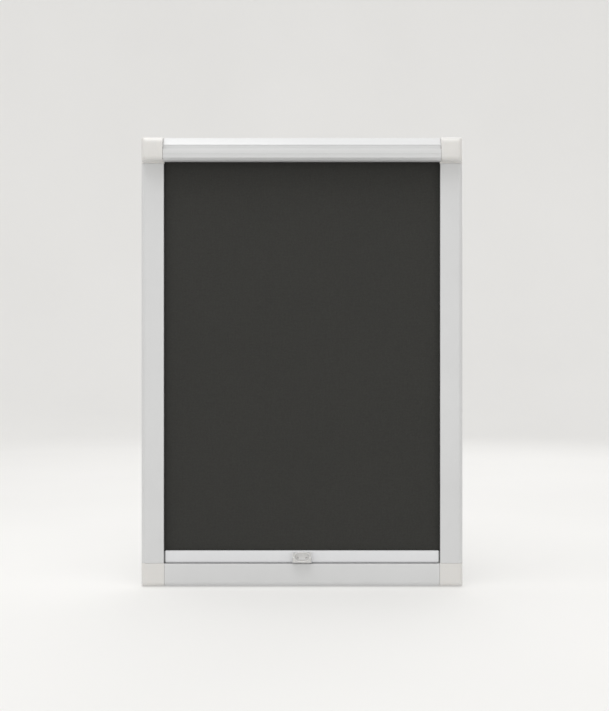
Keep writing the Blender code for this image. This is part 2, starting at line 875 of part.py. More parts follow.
# Places along the fixed spring shaft, all on its left-hand side
collar_x = -(plug_end_x - COLLAR_FROM_PLUG)
spring_start_x = collar_x + COLLAR_LENGTH + GAP
spring_end_x = spring_start_x + SPRING_LENGTH
anchor_x = spring_end_x + GAP + ANCHOR_LENGTH / 2
clip_x = anchor_x + ANCHOR_LENGTH / 2 + GAP
shaft_end_x = clip_x + CLIP_THICKNESS + SHAFT_PAST_CLIP


def fixed_shaft():
    """The shaft that doesn't turn: a square end in the left end cap, and a groove for the clip."""
    groove_radius = SHAFT_RADIUS - CLIP_GROOVE_DEPTH
    groove_end = clip_x + CLIP_THICKNESS + GAP
    profile = [
        (0, shaft_end_x),
        (SHAFT_RADIUS, shaft_end_x),
        (SHAFT_RADIUS, groove_end),
        (groove_radius, groove_end),
        (groove_radius, clip_x - GAP),
        (SHAFT_RADIUS, clip_x - GAP),
        (SHAFT_RADIUS, -boss_x),
        (0, -boss_x),
    ]
    place = (0, -roller_depth, roller_z)
    shaft = turned("spring_shaft", profile, False, place, TURNED_ALONG_X, 20, steel)
    half = SHAFT_SQUARE / 2
    square = block(
        "shaft_square",
        (-cap_wall_x + GAP, -roller_depth - half, roller_z - half),
        (-boss_x + WALL, -roller_depth + half, roller_z + half),
        group=cutters,
    )
    join(shaft, square)

    bore = groove_radius + GAP
    start, end = CLIP_OPENING - 90, 270 - CLIP_OPENING
    outline = [
        *arc((0, 0), (CLIP_RADIUS, CLIP_RADIUS), start, end, 16),
        *arc((0, 0), (bore, bore), end, start, 12),
    ]
    prism(
        "shaft_clip",
        [outline],
        clip_x,
        clip_x + CLIP_THICKNESS,
        ACROSS,
        spring_steel,
        offset=(0, -roller_depth, roller_z),
    )


def spring():
    ring(
        "spring_collar",
        COLLAR_RADIUS,
        SHAFT_RADIUS + GAP,
        collar_x,
        collar_x + COLLAR_LENGTH,
        24,
        nylon,
    )
    points_per_turn = 12
    count = SPRING_TURNS * points_per_turn
    start = spring_start_x + WIRE_RADIUS
    pitch = (SPRING_LENGTH - 2 * WIRE_RADIUS) / count
    curve = bpy.data.curves.new("torsion_spring", "CURVE")
    curve.dimensions = "3D"
    curve.bevel_depth = WIRE_RADIUS
    curve.bevel_resolution = 1
    curve.use_fill_caps = True
    spline = curve.splines.new("POLY")
    spline.points.add(count)
    for i, point in enumerate(spline.points):
        angle = 2 * pi * i / points_per_turn
        y = SPRING_RADIUS * cos(angle) - roller_depth
        z = SPRING_RADIUS * sin(angle) + roller_z
        point.co = (start + pitch * i, y, z, 1)
    add("torsion_spring", curve, spring_steel)


def idle_pin():
    axis = (-roller_depth, roller_z)
    start = plug_end_x + FLANGE
    rod("idle_pin", (start, *axis), (cap_wall_x - GAP, *axis), PIN_RADIUS, 20, steel)


# Fabric


def fabric():
    half = FABRIC_THICKNESS / 2
    block(
        "fabric_sheet",
        (-fabric_end_x, -fabric_depth - half, hembar_top - FABRIC_END_BELOW_TOP),
        (fabric_end_x, -fabric_depth + half, roller_z),
        cloth,
    )


# Hem bar, which slides up


def hembar_outlines():
    """The hem bar's section in depth and height, open at the top for the fabric, and its lower chamber."""
    back = fabric_depth - HEMBAR_DEPTH / 2
    front = hembar_front
    wall = HEMBAR_WALL
    edge = HEMBAR_EDGE_RADIUS
    big = HEMBAR_FRONT_RADIUS
    slit = SPLINE_SLIT / 2
    under_top = hembar_top - wall
    outside = [
        (fabric_depth + slit, hembar_top),
        *arc((front - edge, hembar_top - edge), (edge, edge), 90, 0, 3),
        *arc((front - big, hembar_bottom + big), (big, big), 0, -90, 7),
        *arc((back + edge, hembar_bottom + edge), (edge, edge), -90, -180, 3),
        *arc((back + edge, hembar_top - edge), (edge, edge), 180, 90, 3),
        (fabric_depth - slit, hembar_top),
        (fabric_depth - slit, under_top),
        (back + wall, under_top),
        (back + wall, pocket_floor),
        (front - wall, pocket_floor),
        (front - wall, under_top),
        (fabric_depth + slit, under_top),
    ]
    chamber = [
        (back + wall, hembar_bottom + wall),
        *arc((front - big, hembar_bottom + big), (big - wall, big - wall), -90, 0, 6),
        (front - wall, pocket_floor - wall),
        (back + wall, pocket_floor - wall),
    ]
    return [outside, chamber]


def hembar_pieces():
    bar = prism("hem_bar", hembar_outlines(), -hembar_end_x, hembar_end_x, ACROSS, coated)
    for side in (1, -1):
        x = side * PEG_SPACING / 2
        hole = rod(
            f"peg_hole_{side}",
            (x, -(hembar_front - 2 * HEMBAR_WALL), peg_z),
            (x, -(hembar_front + HEMBAR_WALL), peg_z),
            PEG_RADIUS + GAP,
            16,
            group=cutters,
        )
        cut(bar, hole)
    spline = block(
        "fabric_spline",
        (-hembar_end_x + WALL, -fabric_depth - SPLINE_WIDTH / 2, pocket_floor + GAP),
        (hembar_end_x - WALL, -fabric_depth + SPLINE_WIDTH / 2, pocket_floor + GAP + SPLINE_HEIGHT),
        bearing,
    )
    return [bar, spline]


def guide_pieces():
    """A guide pushed into each end of the hem bar, with a sprung brake shoe at its tip."""
    thickness = SLOT_MOUTH - 2 * TONGUE_PLAY
    back = -fabric_depth - thickness / 2
    front = -fabric_depth + thickness / 2
    shoulder = hembar_end_x + GAP
    tip = opening_x + TONGUE_REACH
    low = corner_size + TONGUE_PLAY
    high = hembar_top - FABRIC_END_BELOW_TOP - TONGUE_PLAY
    spigot_low = hembar_bottom + HEMBAR_WALL + GUIDE_SPIGOT_RISE
    spigot_high = pocket_floor - HEMBAR_WALL - GAP
    middle = (low + high) / 2
    pocket_low = middle - BRAKE_POCKET_HEIGHT / 2
    pocket_high = middle + BRAKE_POCKET_HEIGHT / 2
    pocket = tip - BRAKE_POCKET_DEPTH
    outline = [
        (shoulder - GUIDE_SPIGOT, spigot_low),
        (shoulder, spigot_low),
        (shoulder, low),
        (tip, low),
        (tip, pocket_low),
        (pocket, pocket_low),
        (pocket, pocket_high),
        (tip, pocket_high),
        (tip, high),
        (shoulder, high),
        (shoulder, spigot_high),
        (shoulder - GUIDE_SPIGOT, spigot_high),
    ]
    guide = prism("hem_bar_right_guide", [outline], back, front, FROM_FRONT, nylon)

    shoe_back = slot_end_x - GAP - SHOE_THICKNESS
    ease = SHOE_THICKNESS / 4
    shoe_outline = [
        (shoe_back, pocket_low + GAP),
        (slot_end_x - GAP - ease, pocket_low + GAP),
        (slot_end_x - GAP, pocket_low + GAP + ease),
        (slot_end_x - GAP, pocket_high - GAP - ease),
        (slot_end_x - GAP - ease, pocket_high - GAP),
        (shoe_back, pocket_high - GAP),
    ]
    side = TONGUE_PLAY
    shoe = prism(
        "right_brake_shoe", [shoe_outline], back + side, front - side, FROM_FRONT, bearing
    )

    bow_low = pocket + GAP + LEAF_THICKNESS
    bow_high = shoe_back - GAP - LEAF_THICKNESS
    reach = pocket_high - middle - 2 * GAP - LEAF_THICKNESS
    bow = [
        (bow_low + (bow_high - bow_low) * cos(radians(angle)), middle + reach * sin(radians(angle)))
        for angle in range(-90, 91, 15)
    ]
    leaf = prism(
        "right_brake_spring",
        [strip(bow, LEAF_THICKNESS)],
        back + side,
        front - side,
        FROM_FRONT,
        spring_steel,
    )
    left = [
        mirrored(guide, "hem_bar_left_guide", nylon),
        mirrored(shoe, "left_brake_shoe", bearing),
        mirrored(leaf, "left_brake_spring", spring_steel),
    ]
    return [guide, shoe, leaf, *left]


tab_low = hembar_bottom + TAB_ABOVE_HEM
tab_high = tab_low + TAB_HEIGHT
tab_back = hembar_front + GAP
tab_front = tab_back + TAB_DEPTH
peg_z = (tab_low + tab_high) / 2 + GAP


def pull_tab():
    """A cup for a fingertip, pegged to the front of the hem bar."""
    half = TAB_WIDTH / 2
    radius = TAB_LOWER_RADIUS
    rim = tab_high - TAB_RIM_DROP
    side_view = [
        (tab_back, tab_low),
        *arc((tab_front - radius, tab_low + radius), (radius, radius), -90, 0, 4),
        (tab_front, rim),
        (tab_front - TAB_RIM_EASE, rim + TAB_RIM_EASE),
        (tab_back + TAB_TOP_FLAT, tab_high),
        (tab_back, tab_high),
    ]
    tab = prism("pull_tab", [side_view], -half, half, ACROSS, moulded)
    corner_depth = tab_front - TAB_CORNER
    corner_x = half - TAB_CORNER
    plan = [
        (-half, tab_back - WALL),
        *arc((-corner_x, corner_depth), (TAB_CORNER, TAB_CORNER), 180, 90, 6),
        *arc((corner_x, corner_depth), (TAB_CORNER, TAB_CORNER), 90, 0, 6),
        (half, tab_back - WALL),
    ]
    sides = prism(
        "tab_plan", [plan], tab_low - WALL, tab_high + WALL, RIGHT_UPRIGHT, group=cutters
    )
    combine(tab, sides, "INTERSECT")

    scoop_mesh = bpy.data.meshes.new("tab_scoop")
    shape = bmesh.new()
    centre = (0, -(tab_front - SCOOP_SETBACK), tab_high + GAP)
    place = Matrix.Translation(centre) @ Matrix.Diagonal((*SCOOP_RADII, 1))
    bmesh.ops.create_uvsphere(shape, u_segments=28, v_segments=16, radius=1, matrix=place)
    shape.to_mesh(scoop_mesh)
    shape.free()
    cut(tab, add("tab_scoop", scoop_mesh, group=cutters))
    for side in (1, -1):
        x = side * PEG_SPACING / 2
        peg = rod(
            f"tab_peg_{side}",
            (x, -(tab_back + GAP), peg_z),
            (x, -(tab_back - 2 * HEMBAR_WALL), peg_z),
            PEG_RADIUS,
            16,
            group=cutters,
        )
        join(tab, peg)
    return [tab]


def hem_bar():
    slide = bpy.data.objects.new("hem_bar_slide", None)
    slide.location = (0, -fabric_depth, hembar_bottom)
    blind.objects.link(slide)
    for piece in hembar_pieces() + guide_pieces() + pull_tab():
        piece.parent = slide
        piece.location = piece.location - slide.location


# Fasteners and window brackets


def locking_screws():
    """One screw behind each joint, its head on the extrusion's back and its shank in the spigot."""
    head = SCREW_HEAD_HEIGHT
    for screw, (x, z, seat, length) in locking.items():
        profile = [
            (0, head),
            (SCREW_HEAD_FLAT, head),
            (SCREW_HEAD_RADIUS, SCREW_HEAD_RIM),
            (SCREW_HEAD_RADIUS, 0),
            (SCREW_RADIUS, 0),
            (SCREW_RADIUS, -length + SCREW_RADIUS),
            (0, -length),
        ]
        for hand, side in (("right", 1), ("left", -1)):
            place = (side * x, -(seat - GAP), z)
            made = turned(f"{hand}_{screw}", profile, False, place, (-pi / 2, 0, 0), 12, steel)
            floor = Vector(place) + Vector((0, head - DRIVE_DEPTH, 0))
            for name, width, height in (
                ("across", DRIVE_LENGTH, DRIVE_WIDTH),
                ("upright", DRIVE_WIDTH, DRIVE_LENGTH),
            ):
                corner = Vector((width / 2, 0, height / 2))
                raised = Vector((0, 2 * DRIVE_DEPTH, 0))
                arm = block(
                    f"{made.name}_drive_{name}", floor - corner, floor + corner + raised, group=cutters
                )
                cut(made, arm)


def window_brackets():
    """Spring-steel clips in the recess of the side channels, each with a blade for the window's gasket."""
    half = BRACKET_THICKNESS / 2
    base = GAP + half
    raised = WALL + 2 * GAP + half
    outer_bend = OUTER_FOOT + 3 * GAP + half
    inner_bend = PROFILE_WIDTH - INNER_FOOT - 3 * GAP - half
    line = [
        (OUTER_FOOT / 2, raised),
        (outer_bend, raised),
        (outer_bend + BRACKET_BEND, base),
        (inner_bend - BRACKET_BEND, base),
        (inner_bend, raised),
        (PROFILE_WIDTH - WALL - 3 * GAP, raised),
    ]
    heights = {
        "lower": corner_size + BRACKET_FROM_SEAM,
        "upper": cap_bottom - BRACKET_FROM_SEAM,
    }
    blade_x = edge_x - inner_bend + BLADE_FROM_BEND
    for level, z in heights.items():
        low, high = z - BRACKET_LENGTH / 2, z + BRACKET_LENGTH / 2
        bracket = prism(
            f"{level}_right_bracket",
            [strip(line, BRACKET_THICKNESS)],
            low,
            high,
            RIGHT_UPRIGHT,
            steel,
            offset=(edge_x, 0, 0),
        )
        blade = block(
            f"{level}_blade",
            (blade_x, -base, low + BLADE_INSET),
            (blade_x + BRACKET_THICKNESS, BRACKET_BLADE, high - BLADE_INSET),
            group=cutters,
        )
        join(bracket, blade)
        mirrored(bracket, f"{level}_left_bracket", steel)


side_channels()
bottom_rail()
bottom_corners()
cassette()
end_caps()
fixed_shaft()
spring()
idle_pin()
roller()
fabric()
hem_bar()
locking_screws()
window_brackets()
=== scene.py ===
"""The looks of a spring roller blind in a clip-in window frame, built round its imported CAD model.

Metres, +Z up. The window sash is the plane y = 0 and the room is at -Y, so a depth d in front of
the sash is y = -d. An outline is drawn in two of: depth d, height z, u (in from the frame's outer
edge), and x. Each detailed piece takes its place from the boxes of the CAD nodes, replaces one CAD
node, and takes its body and its material slot from that node.
"""

import json
from math import cos, pi, radians, sin, sqrt, tan

import bmesh
import bpy
import numpy as np
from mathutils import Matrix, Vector


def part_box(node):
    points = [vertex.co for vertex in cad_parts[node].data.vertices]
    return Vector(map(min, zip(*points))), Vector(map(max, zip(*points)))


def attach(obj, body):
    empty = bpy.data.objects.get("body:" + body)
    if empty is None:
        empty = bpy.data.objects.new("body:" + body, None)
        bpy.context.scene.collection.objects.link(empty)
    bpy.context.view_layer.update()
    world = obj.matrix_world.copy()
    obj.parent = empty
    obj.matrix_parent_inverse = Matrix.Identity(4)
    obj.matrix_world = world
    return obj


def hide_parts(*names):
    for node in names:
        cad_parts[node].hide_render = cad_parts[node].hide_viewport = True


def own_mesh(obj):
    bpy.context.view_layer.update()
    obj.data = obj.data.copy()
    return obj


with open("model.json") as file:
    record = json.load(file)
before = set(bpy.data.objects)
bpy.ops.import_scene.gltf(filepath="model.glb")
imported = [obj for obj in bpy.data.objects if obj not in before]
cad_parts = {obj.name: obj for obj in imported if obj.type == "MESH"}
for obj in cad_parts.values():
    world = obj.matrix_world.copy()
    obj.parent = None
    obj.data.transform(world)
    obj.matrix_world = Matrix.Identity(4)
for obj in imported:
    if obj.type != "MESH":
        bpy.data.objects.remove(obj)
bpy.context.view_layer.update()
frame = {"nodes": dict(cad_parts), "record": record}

record = frame["record"]
body_of = {node: body for body, nodes in record["behaviour"]["bodies"].items() for node in nodes}
slot_of = {row["node"]: row["material_slot"] for row in record["subparts"]}

MM = 0.001
GAP = 0.3 * MM

# Wall sizes and radii of the extrusions
WALL = 1.3 * MM
ROUND_WIDTH = 9.0 * MM  # the rounded outer side of the frame, seen from the front
ROUND_START = 5.5 * MM
WEB_FROM_EDGE = 14.0 * MM
RECESS_DEPTH = 5.2 * MM
OUTER_FOOT = 6.0 * MM
INNER_FOOT = 5.0 * MM
SLOT_MOUTH = 8.0 * MM
LIP_RADIUS = 0.7 * MM
EDGE_RADIUS = 0.3 * MM
INSIDE_RADIUS = 0.4 * MM
ARC_EASE = 0.1 * MM  # keeps a chamber's last corner clear of the arc's end
RECESS_RADIUS = 0.8 * MM
SPIGOT_RADIUS = 0.5 * MM
SPIGOT_PLAY = 0.5 * MM
SPIGOT_LENGTH = 22.0 * MM
CORNER_SHELL = 4.5 * MM
CORNER_HOLLOW_RADIUS = 2.0 * MM

# Cassette and end caps
BACK_RECESS = 3.0 * MM
CHAMBER_WIDTH = 5.4 * MM
CHAMBER_HEIGHT = 6.4 * MM
OUTLET_LIP = 3.6 * MM
TOP_EDGE_RADIUS = 1.6 * MM
CEILING_RADIUS = 1.0 * MM
SEAM_RADII = (0.2 * MM, 0.35 * MM)  # of the housing's lower edge, inside and outside
CLIP_LIP = (1.0 * MM, 4.5 * MM)  # thickness, and drop behind the cover
GROOVE_HEIGHTS = (17.0 * MM, 9.0 * MM)
GROOVE = 0.45 * MM  # half its width
GROOVE_DEPTH = 0.785 * MM
GROOVE_RADII = (0.25 * MM, 0.12 * MM)  # its edges, and its bottom
FACET_LEAN = -0.6 * MM  # how much nearer the room the upper facet's foot is than its top
LEDGE_TOP = 1.0 * MM  # above the upper groove height, where the band stands out from the facet
BAND_TOP = 0.6 * MM  # above the upper groove height
BAND_SETBACKS = (0.2 * MM, 0.1 * MM, 0.35 * MM)  # its top, its foot, the lower facet's top
BAND_CROWN = 6.0 * MM
LOWER_LEAN = 1.0 * MM
COVER_UNDERCUT = (6.5 * MM, 3.4 * MM)
COVER_EDGE_RADIUS = 2.5 * MM
CAP_WALL = 2.0 * MM
CAP_BASE = 3.5 * MM
CAP_INSET = 1.0 * MM
CAP_ROUND_WIDTH = 13.0 * MM
CAP_NOSE_RADIUS = 13.0 * MM
CAP_NOSE_LEAN = (0.6 * MM, 1.6 * MM)
CAP_CHIN_RADIUS = 8.0 * MM
CAP_CHIN_LEAN = 0.9 * MM
CAP_BULGE = (13.0 * MM, 20.0 * MM)  # height above the bottom, and radius
CAP_CREST = (22.0 * MM, 12.0 * MM)  # depth, and radius
CAP_FIRMNESS = 15
CORNER_FIRMNESS = 26
SEAM_FIRMNESS = 48
TOP_LUG_LENGTH = 20.0 * MM
CLIP_LUG_LENGTH = 12.0 * MM
CLIP_LUG_DEPTHS = (8.0 * MM, 4.0 * MM)  # behind the cassette's front
CLIP_LUG_HEIGHT = 5.0 * MM
BOSS_RADIUS = 6.5 * MM
BOSS_GAP = 2.2 * MM  # between a boss and the roller's end plug
BOSS_END = 4.6 * MM  # inside the frame's outer edge
SHEET_ROOM = 3.0 * MM
FRONT_EASE = 1.06  # a moulding's sides are drawn this much too deep, to melt into its front

# Roller and spring unit
TUBE_WALL = 0.8 * MM
TURNED_CHAMFER = 0.2 * MM
COLLAR_RADIUS = 7.5 * MM
PLUG_RIBS = 5
RIB_HALF_WIDTH = 0.7 * MM
RIB_HEIGHT = 0.5 * MM
RIB_FLARE = 1.6
PLUG_TAPER = 0.9 * MM
SHAFT_RADIUS = 3.0 * MM
SHAFT_GROOVE = 0.75 * MM
SHAFT_EASE = 0.4 * MM
SHAFT_SQUARE = 2.1 * MM  # half its side
SOCKET_SQUARE = 2.4 * MM
PIN_RADIUS = 2.5 * MM
BUSH_RADIUS = 4.0 * MM
WIRE_RADIUS = 0.5 * MM
WIRE_END_DEPTH = 4.1 * MM
SPRING_TURNS = 18
POINTS_PER_TURN = 28

# Hem bar and pull tab
HEMBAR_WALL = 1.2 * MM
HEMBAR_FRONT_RADIUS = 4.5 * MM
HEMBAR_EDGE_RADIUS = 1.5 * MM
SPLINE_SLIT = 2.0 * MM
SPLINE_POCKET = 4.2 * MM
SPLINE_RADIUS = 1.2 * MM
SLIT_RADII = (0.35 * MM, 0.25 * MM)  # outside and inside
POCKET_RADIUS = 0.5 * MM
TAB_CORNER = 5.0 * MM
TAB_CORNER_DEPTH = 0.8 * MM  # in front of the tab's front
TAB_RADII = (0.4 * MM, 1.2 * MM, 1.0 * MM, 0.3 * MM)  # foot, front, front and back of its top
TAB_TOP = 2.5 * MM
TAB_MIDDLE_DROP = 2.0 * MM
TAB_FIRMNESS = 26
TAB_VOXEL = 0.25 * MM
TAB_RIM_DROP = 6.7 * MM
TAB_UNDERCUT = (9.0 * MM, 4.0 * MM)
SCOOP_RADII = (13.1 * MM, 11.9 * MM, 13.0 * MM)
SCOOP_BOXINESS = 2.5
DIMPLE_RADII = (2.2 * MM, 1.8 * MM, 1.7 * MM)
DIMPLE_PLACE = (6.6 * MM, 4.8 * MM, 9.0 * MM)  # from the tab's middle, its back and its foot
SCOOP_SETBACK = -0.5 * MM
PEG_RADIUS = 1.8 * MM
PEG_SPACING = 16.0 * MM
PEG_REACH = (2.7 * MM, 0.6 * MM)  # behind the tab's back, and into the tab

# Cloth
WEAVE_PITCH = 0.42 * MM
SHEET_GRID = (120, 164)
RIPPLE = 0.35 * MM
RIPPLES = (5.3, 11.7)  # coarse and fine, across the sheet
RIPPLE_DRIFT = 1.1  # how far the coarse ones wander on the way up
FINE_SHARE = 0.6
HELD_EDGE = 0.04  # the share of the width that each channel holds flat
ROLL_LAYER = 0.35 * MM
ROLL_TURNS = 1.9
ROLL_STEPS = 96
ROLL_LOOSE = 0.05 * MM
CLOTH_SHARE = 0.9  # of a layer of the roll

# Screws
SCREW_HEAD = 1.6 * MM
SCREW_FLAT = 1.5 * MM
SCREW_RIM = 0.6 * MM
SCREW_DOME = (0.5 * MM, 0.15 * MM)
SCREW_SHOULDER = (0.1 * MM, 0.3 * MM)
SCREW_SHANK = 1.0 * MM
SCREW_PITCH = 0.9 * MM
SCREW_RIDGE = 0.25 * MM
SCREW_SIDES = 24
RINGS_PER_PITCH = 8
SCREW_POINT = 1.6 * MM
SCREW_TIP_SHARE = 0.25
CROSS = (1.6 * MM, 0.42 * MM)  # half the length and width of an arm
CROSS_DEPTH = 0.8 * MM
CROSS_RADIUS = 0.12 * MM

# Window brackets
SHEET_STEEL = 1.0 * MM
BEND_RADIUS = 0.7 * MM
BEND_RUN = 0.6 * MM
BLADE_SETBACK = 1.2 * MM
BLADE_INSET = 3.0 * MM
BLADE_RADIUS = 4.0 * MM

# Stage
STAGE_RADIUS = 3.2
STAGE_CURVE = 1.2
STAGE_HEIGHT = 4.0
STAGE_GLOW = 0.35
FLOOR_GAP = 0.5 * MM
SKY_STRENGTH = 0.7
OVERHEAD_POWER = 27
LOW_POWER = 5
BEHIND_POWER = 12
CAMERA_PLACE = (4.1 * MM, -1.750, 0.3785)
CAMERA_LENS = 53.62

# Places, from the CAD nodes
rail_low, rail_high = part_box("bottom_rail")
channel_low, channel_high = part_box("right_side_channel")
cap_low, cap_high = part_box("right_end_cap")
housing_low, housing_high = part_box("cassette_housing")
cover_low, cover_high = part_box("cassette_front_cover")
hem_low, hem_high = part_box("hem_bar")
tab_low, tab_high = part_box("pull_tab")
sheet_low, sheet_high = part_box("fabric_sheet")
tube_low, tube_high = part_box("roller_tube")

edge_x = channel_high.x
frame_top = housing_high.z
profile_width = rail_high.z
profile_depth = -rail_low.y
seam_x = rail_high.x + GAP
corner_size = edge_x - seam_x
slot_back = RECESS_DEPTH + WALL
slot_front = slot_back + SLOT_MOUTH
cassette_bottom = housing_low.z
cassette_depth = -cover_low.y
cap_bottom = channel_high.z + GAP
cap_depth = -cap_low.y
fabric_depth = -(sheet_low.y + sheet_high.y) / 2
roller_depth = -(tube_low.y + tube_high.y) / 2
roller_z = (tube_low.z + tube_high.z) / 2
tube_radius = (tube_high.z - tube_low.z) / 2
chamfer_end = -housing_low.y + GAP / sqrt(2)
chamfer_end_z = cover_high.z + GAP / sqrt(2)
chamfer_line = chamfer_end + chamfer_end_z
chamfer_top = chamfer_line - frame_top


# Materials


class Nodes:
    """A small writer for one material's node tree."""

    def __init__(self, name):
        self.material = bpy.data.materials.new(name)
        self.material.use_nodes = True
        self.tree = self.material.node_tree
        self.shader = self.tree.nodes["Principled BSDF"]
        self.place = self.add("ShaderNodeTexCoord").outputs["Object"]

    def add(self, kind, **settings):
        node = self.tree.nodes.new(kind)
        for key, value in settings.items():
            if key in node.inputs:
                node.inputs[key].default_value = value
            else:
                setattr(node, key, value)
        return node

    def link(self, output, entry):
        self.tree.links.new(output, entry)

    def noise(self, scale, detail=2.0, stretch=(1, 1, 1)):
        mapping = self.add("ShaderNodeMapping", Scale=stretch)
        self.link(self.place, mapping.inputs["Vector"])
        made = self.add("ShaderNodeTexNoise", Scale=scale, Detail=detail)
        self.link(mapping.outputs["Vector"], made.inputs["Vector"])
        return made.outputs["Fac"]

    def math(self, operation, first, second=0.0):
        made = self.add("ShaderNodeMath", operation=operation)
        for entry, value in zip(made.inputs, (first, second)):
            if isinstance(value, (int, float)):
                entry.default_value = value
            else:
                self.link(value, entry)
        return made.outputs["Value"]

    def ramp(self, source, low, high, start=0.3, end=0.7):
        """A colour between two, as the source goes from start to end."""
        made = self.add("ShaderNodeValToRGB")
        first, last = made.color_ramp.elements
        first.position, last.position = start, end
        first.color, last.color = (*low, 1), (*high, 1)
        self.link(source, made.inputs["Fac"])
        return made.outputs["Color"]

    def mix(self, share, first, second, blend="MIX"):
        made = self.add("ShaderNodeMix", data_type="RGBA", blend_type=blend)
        made.inputs["Factor"].default_value = share
        self.link(first, made.inputs["A"])
        self.link(second, made.inputs["B"])
        return made.outputs["Result"]

    def level(self, source, low, high, start=0.3, end=0.7):
        made = self.add("ShaderNodeMapRange")
        span = {"From Min": start, "From Max": end, "To Min": low, "To Max": high}
        for entry, value in span.items():
            made.inputs[entry].default_value = value
        self.link(source, made.inputs["Value"])
        return made.outputs["Result"]

    def bump(self, height, distance, strength=1.0, under=None):
        made = self.add("ShaderNodeBump", Distance=distance, Strength=strength)
        self.link(height, made.inputs["Height"])
        if under:
            self.link(under, made.inputs["Normal"])
        return made.outputs["Normal"]

    def mottled(self, colour, share, *patterns):
        """Two patterns over one colour. Each is (noise, darkest, lightest), as shares of it."""
        shades = []
        for noise, darkest, lightest in patterns:
            low, high = [[part * shade for part in colour] for shade in (darkest, lightest)]
            shades.append(self.ramp(noise, low, high))
        return self.mix(share, *shades)

    def finish(self, base, roughness, normal, constants):
        """Links the shader's colour, roughness and normal, and sets its other sockets."""
        for entry, source in (("Base Color", base), ("Roughness", roughness), ("Normal", normal)):
            self.link(source, self.shader.inputs[entry])
        for entry, value in constants.items():
            self.shader.inputs[entry].default_value = value
        return self.material


def coated_aluminium(name, colour):
    """Satin white powder coat: fine orange peel and a little unevenness in tone."""
    nodes = Nodes(name)
    grain = nodes.noise(900, 2)
    base = nodes.mottled(colour, 0.35, (nodes.noise(9, 3), 0.965, 1.02), (grain, 0.96, 1.03))
    roughness = nodes.level(nodes.noise(240, 3), 0.33, 0.43)
    peel = nodes.bump(nodes.noise(1400, 1), 0.012 * MM, 0.6)
    normal = nodes.bump(grain, 0.02 * MM, 0.35, peel)
    coat = {"Coat Weight": 0.12, "Coat Roughness": 0.22}
    return nodes.finish(base, roughness, normal, coat)


def moulded_plastic(name, colour, polish_and_highlight=None):
    """Slightly warm white plastic, fine-skinned. Its convex edges take the lighter colour: finger
    polish and a painted highlight.
    """
    nodes = Nodes(name)
    stains, specks = nodes.noise(14, 3), nodes.noise(1600, 2)
    base = nodes.mottled(colour, 0.4, (stains, 0.97, 1.02), (specks, 0.95, 1.03))
    # Painted highlight and finger polish: where the surface is most convex, by pointiness, the
    # colour turns lighter.
    if polish_and_highlight:
        edges = nodes.add("ShaderNodeNewGeometry").outputs["Pointiness"]
        polish_and_highlight_share = nodes.level(edges, 0.0, 1.0, 0.50, 0.53)
        blend = nodes.add("ShaderNodeMix", data_type="RGBA")
        nodes.link(polish_and_highlight_share, blend.inputs["Factor"])
        nodes.link(base, blend.inputs["A"])
        blend.inputs["B"].default_value = (*polish_and_highlight, 1)
        base = blend.outputs["Result"]
    roughness = nodes.level(nodes.noise(500, 3), 0.34, 0.46)
    skin = nodes.bump(nodes.noise(2600, 3), 0.02 * MM, 0.55)
    depth = {"Subsurface Weight": 0.06, "Subsurface Radius": (1.2 * MM, 1.0 * MM, 0.8 * MM)}
    return nodes.finish(base, roughness, skin, depth)


def blackout_cloth():
    """Dull charcoal plain weave: threads and slubs both ways, and a coated, nearly matt face."""
    nodes = Nodes("charcoal_blackout_weave")
    split = nodes.add("ShaderNodeSeparateXYZ")
    nodes.link(nodes.place, split.inputs["Vector"])
    warp, weft = [
        nodes.math("SINE", nodes.math("MULTIPLY", split.outputs[axis], 2 * pi / WEAVE_PITCH))
        for axis in ("X", "Z")
    ]
    over = nodes.math("MULTIPLY", warp, weft)
    threads = nodes.math("MAXIMUM", nodes.math("ABSOLUTE", warp), nodes.math("ABSOLUTE", weft))
    weave = nodes.math("ADD", threads, nodes.math("MULTIPLY", over, 0.35))
    thin, thick = (0.2,) * 3, (0.8,) * 3
    slubs = nodes.mix(
        0.5,
        nodes.ramp(nodes.noise(60, 4, (1, 1, 14)), thin, thick),
        nodes.ramp(nodes.noise(60, 4, (14, 1, 1)), thin, thick),
    )
    yarn = nodes.ramp(weave, (0.0178, 0.0178, 0.0156), (0.0268, 0.0266, 0.0233), 0.35, 1.25)
    streaks = nodes.ramp(slubs, (0.0182, 0.0182, 0.0160), (0.0262, 0.0260, 0.0228), 0.38, 0.62)
    clouds = nodes.ramp(nodes.noise(7, 3), (0.0200, 0.0200, 0.0176), (0.0240, 0.0238, 0.0209))
    base = nodes.mix(0.35, nodes.mix(0.45, yarn, streaks), clouds)
    roughness = nodes.level(nodes.noise(400, 3), 0.62, 0.78)
    dull = {"Sheen Weight": 0.05, "Sheen Roughness": 0.5, "Specular IOR Level": 0.35}
    return nodes.finish(base, roughness, nodes.bump(weave, 0.05 * MM, 0.7), dull)


def metal(name, colour, roughness, brush, along):
    """Bare metal with fine lines along it and patches of duller surface."""
    nodes = Nodes(name)
    lines = nodes.noise(brush, 3, along)
    base = nodes.mottled(colour, 0.5, (lines, 0.88, 1.06), (nodes.noise(45, 4), 0.90, 1.05))
    sheen = nodes.level(lines, roughness - 0.06, roughness + 0.08)
    return nodes.finish(base, sheen, nodes.bump(lines, 0.01 * MM, 0.5), {"Metallic": 1.0})


def plain_plastic(name, colour, roughness):
    """Moulded engineering plastic with faint flow marks and a dull skin."""
    nodes = Nodes(name)
    flow, specks = nodes.noise(60, 3, (1, 1, 4)), nodes.noise(1500, 2)
    base = nodes.mottled(colour, 0.5, (flow, 0.86, 1.08), (specks, 0.92, 1.06))
    sheen = nodes.level(nodes.noise(350, 3), roughness - 0.07, roughness + 0.07)
    return nodes.finish(base, sheen, nodes.bump(nodes.noise(2200, 2), 0.02 * MM, 0.5), {})


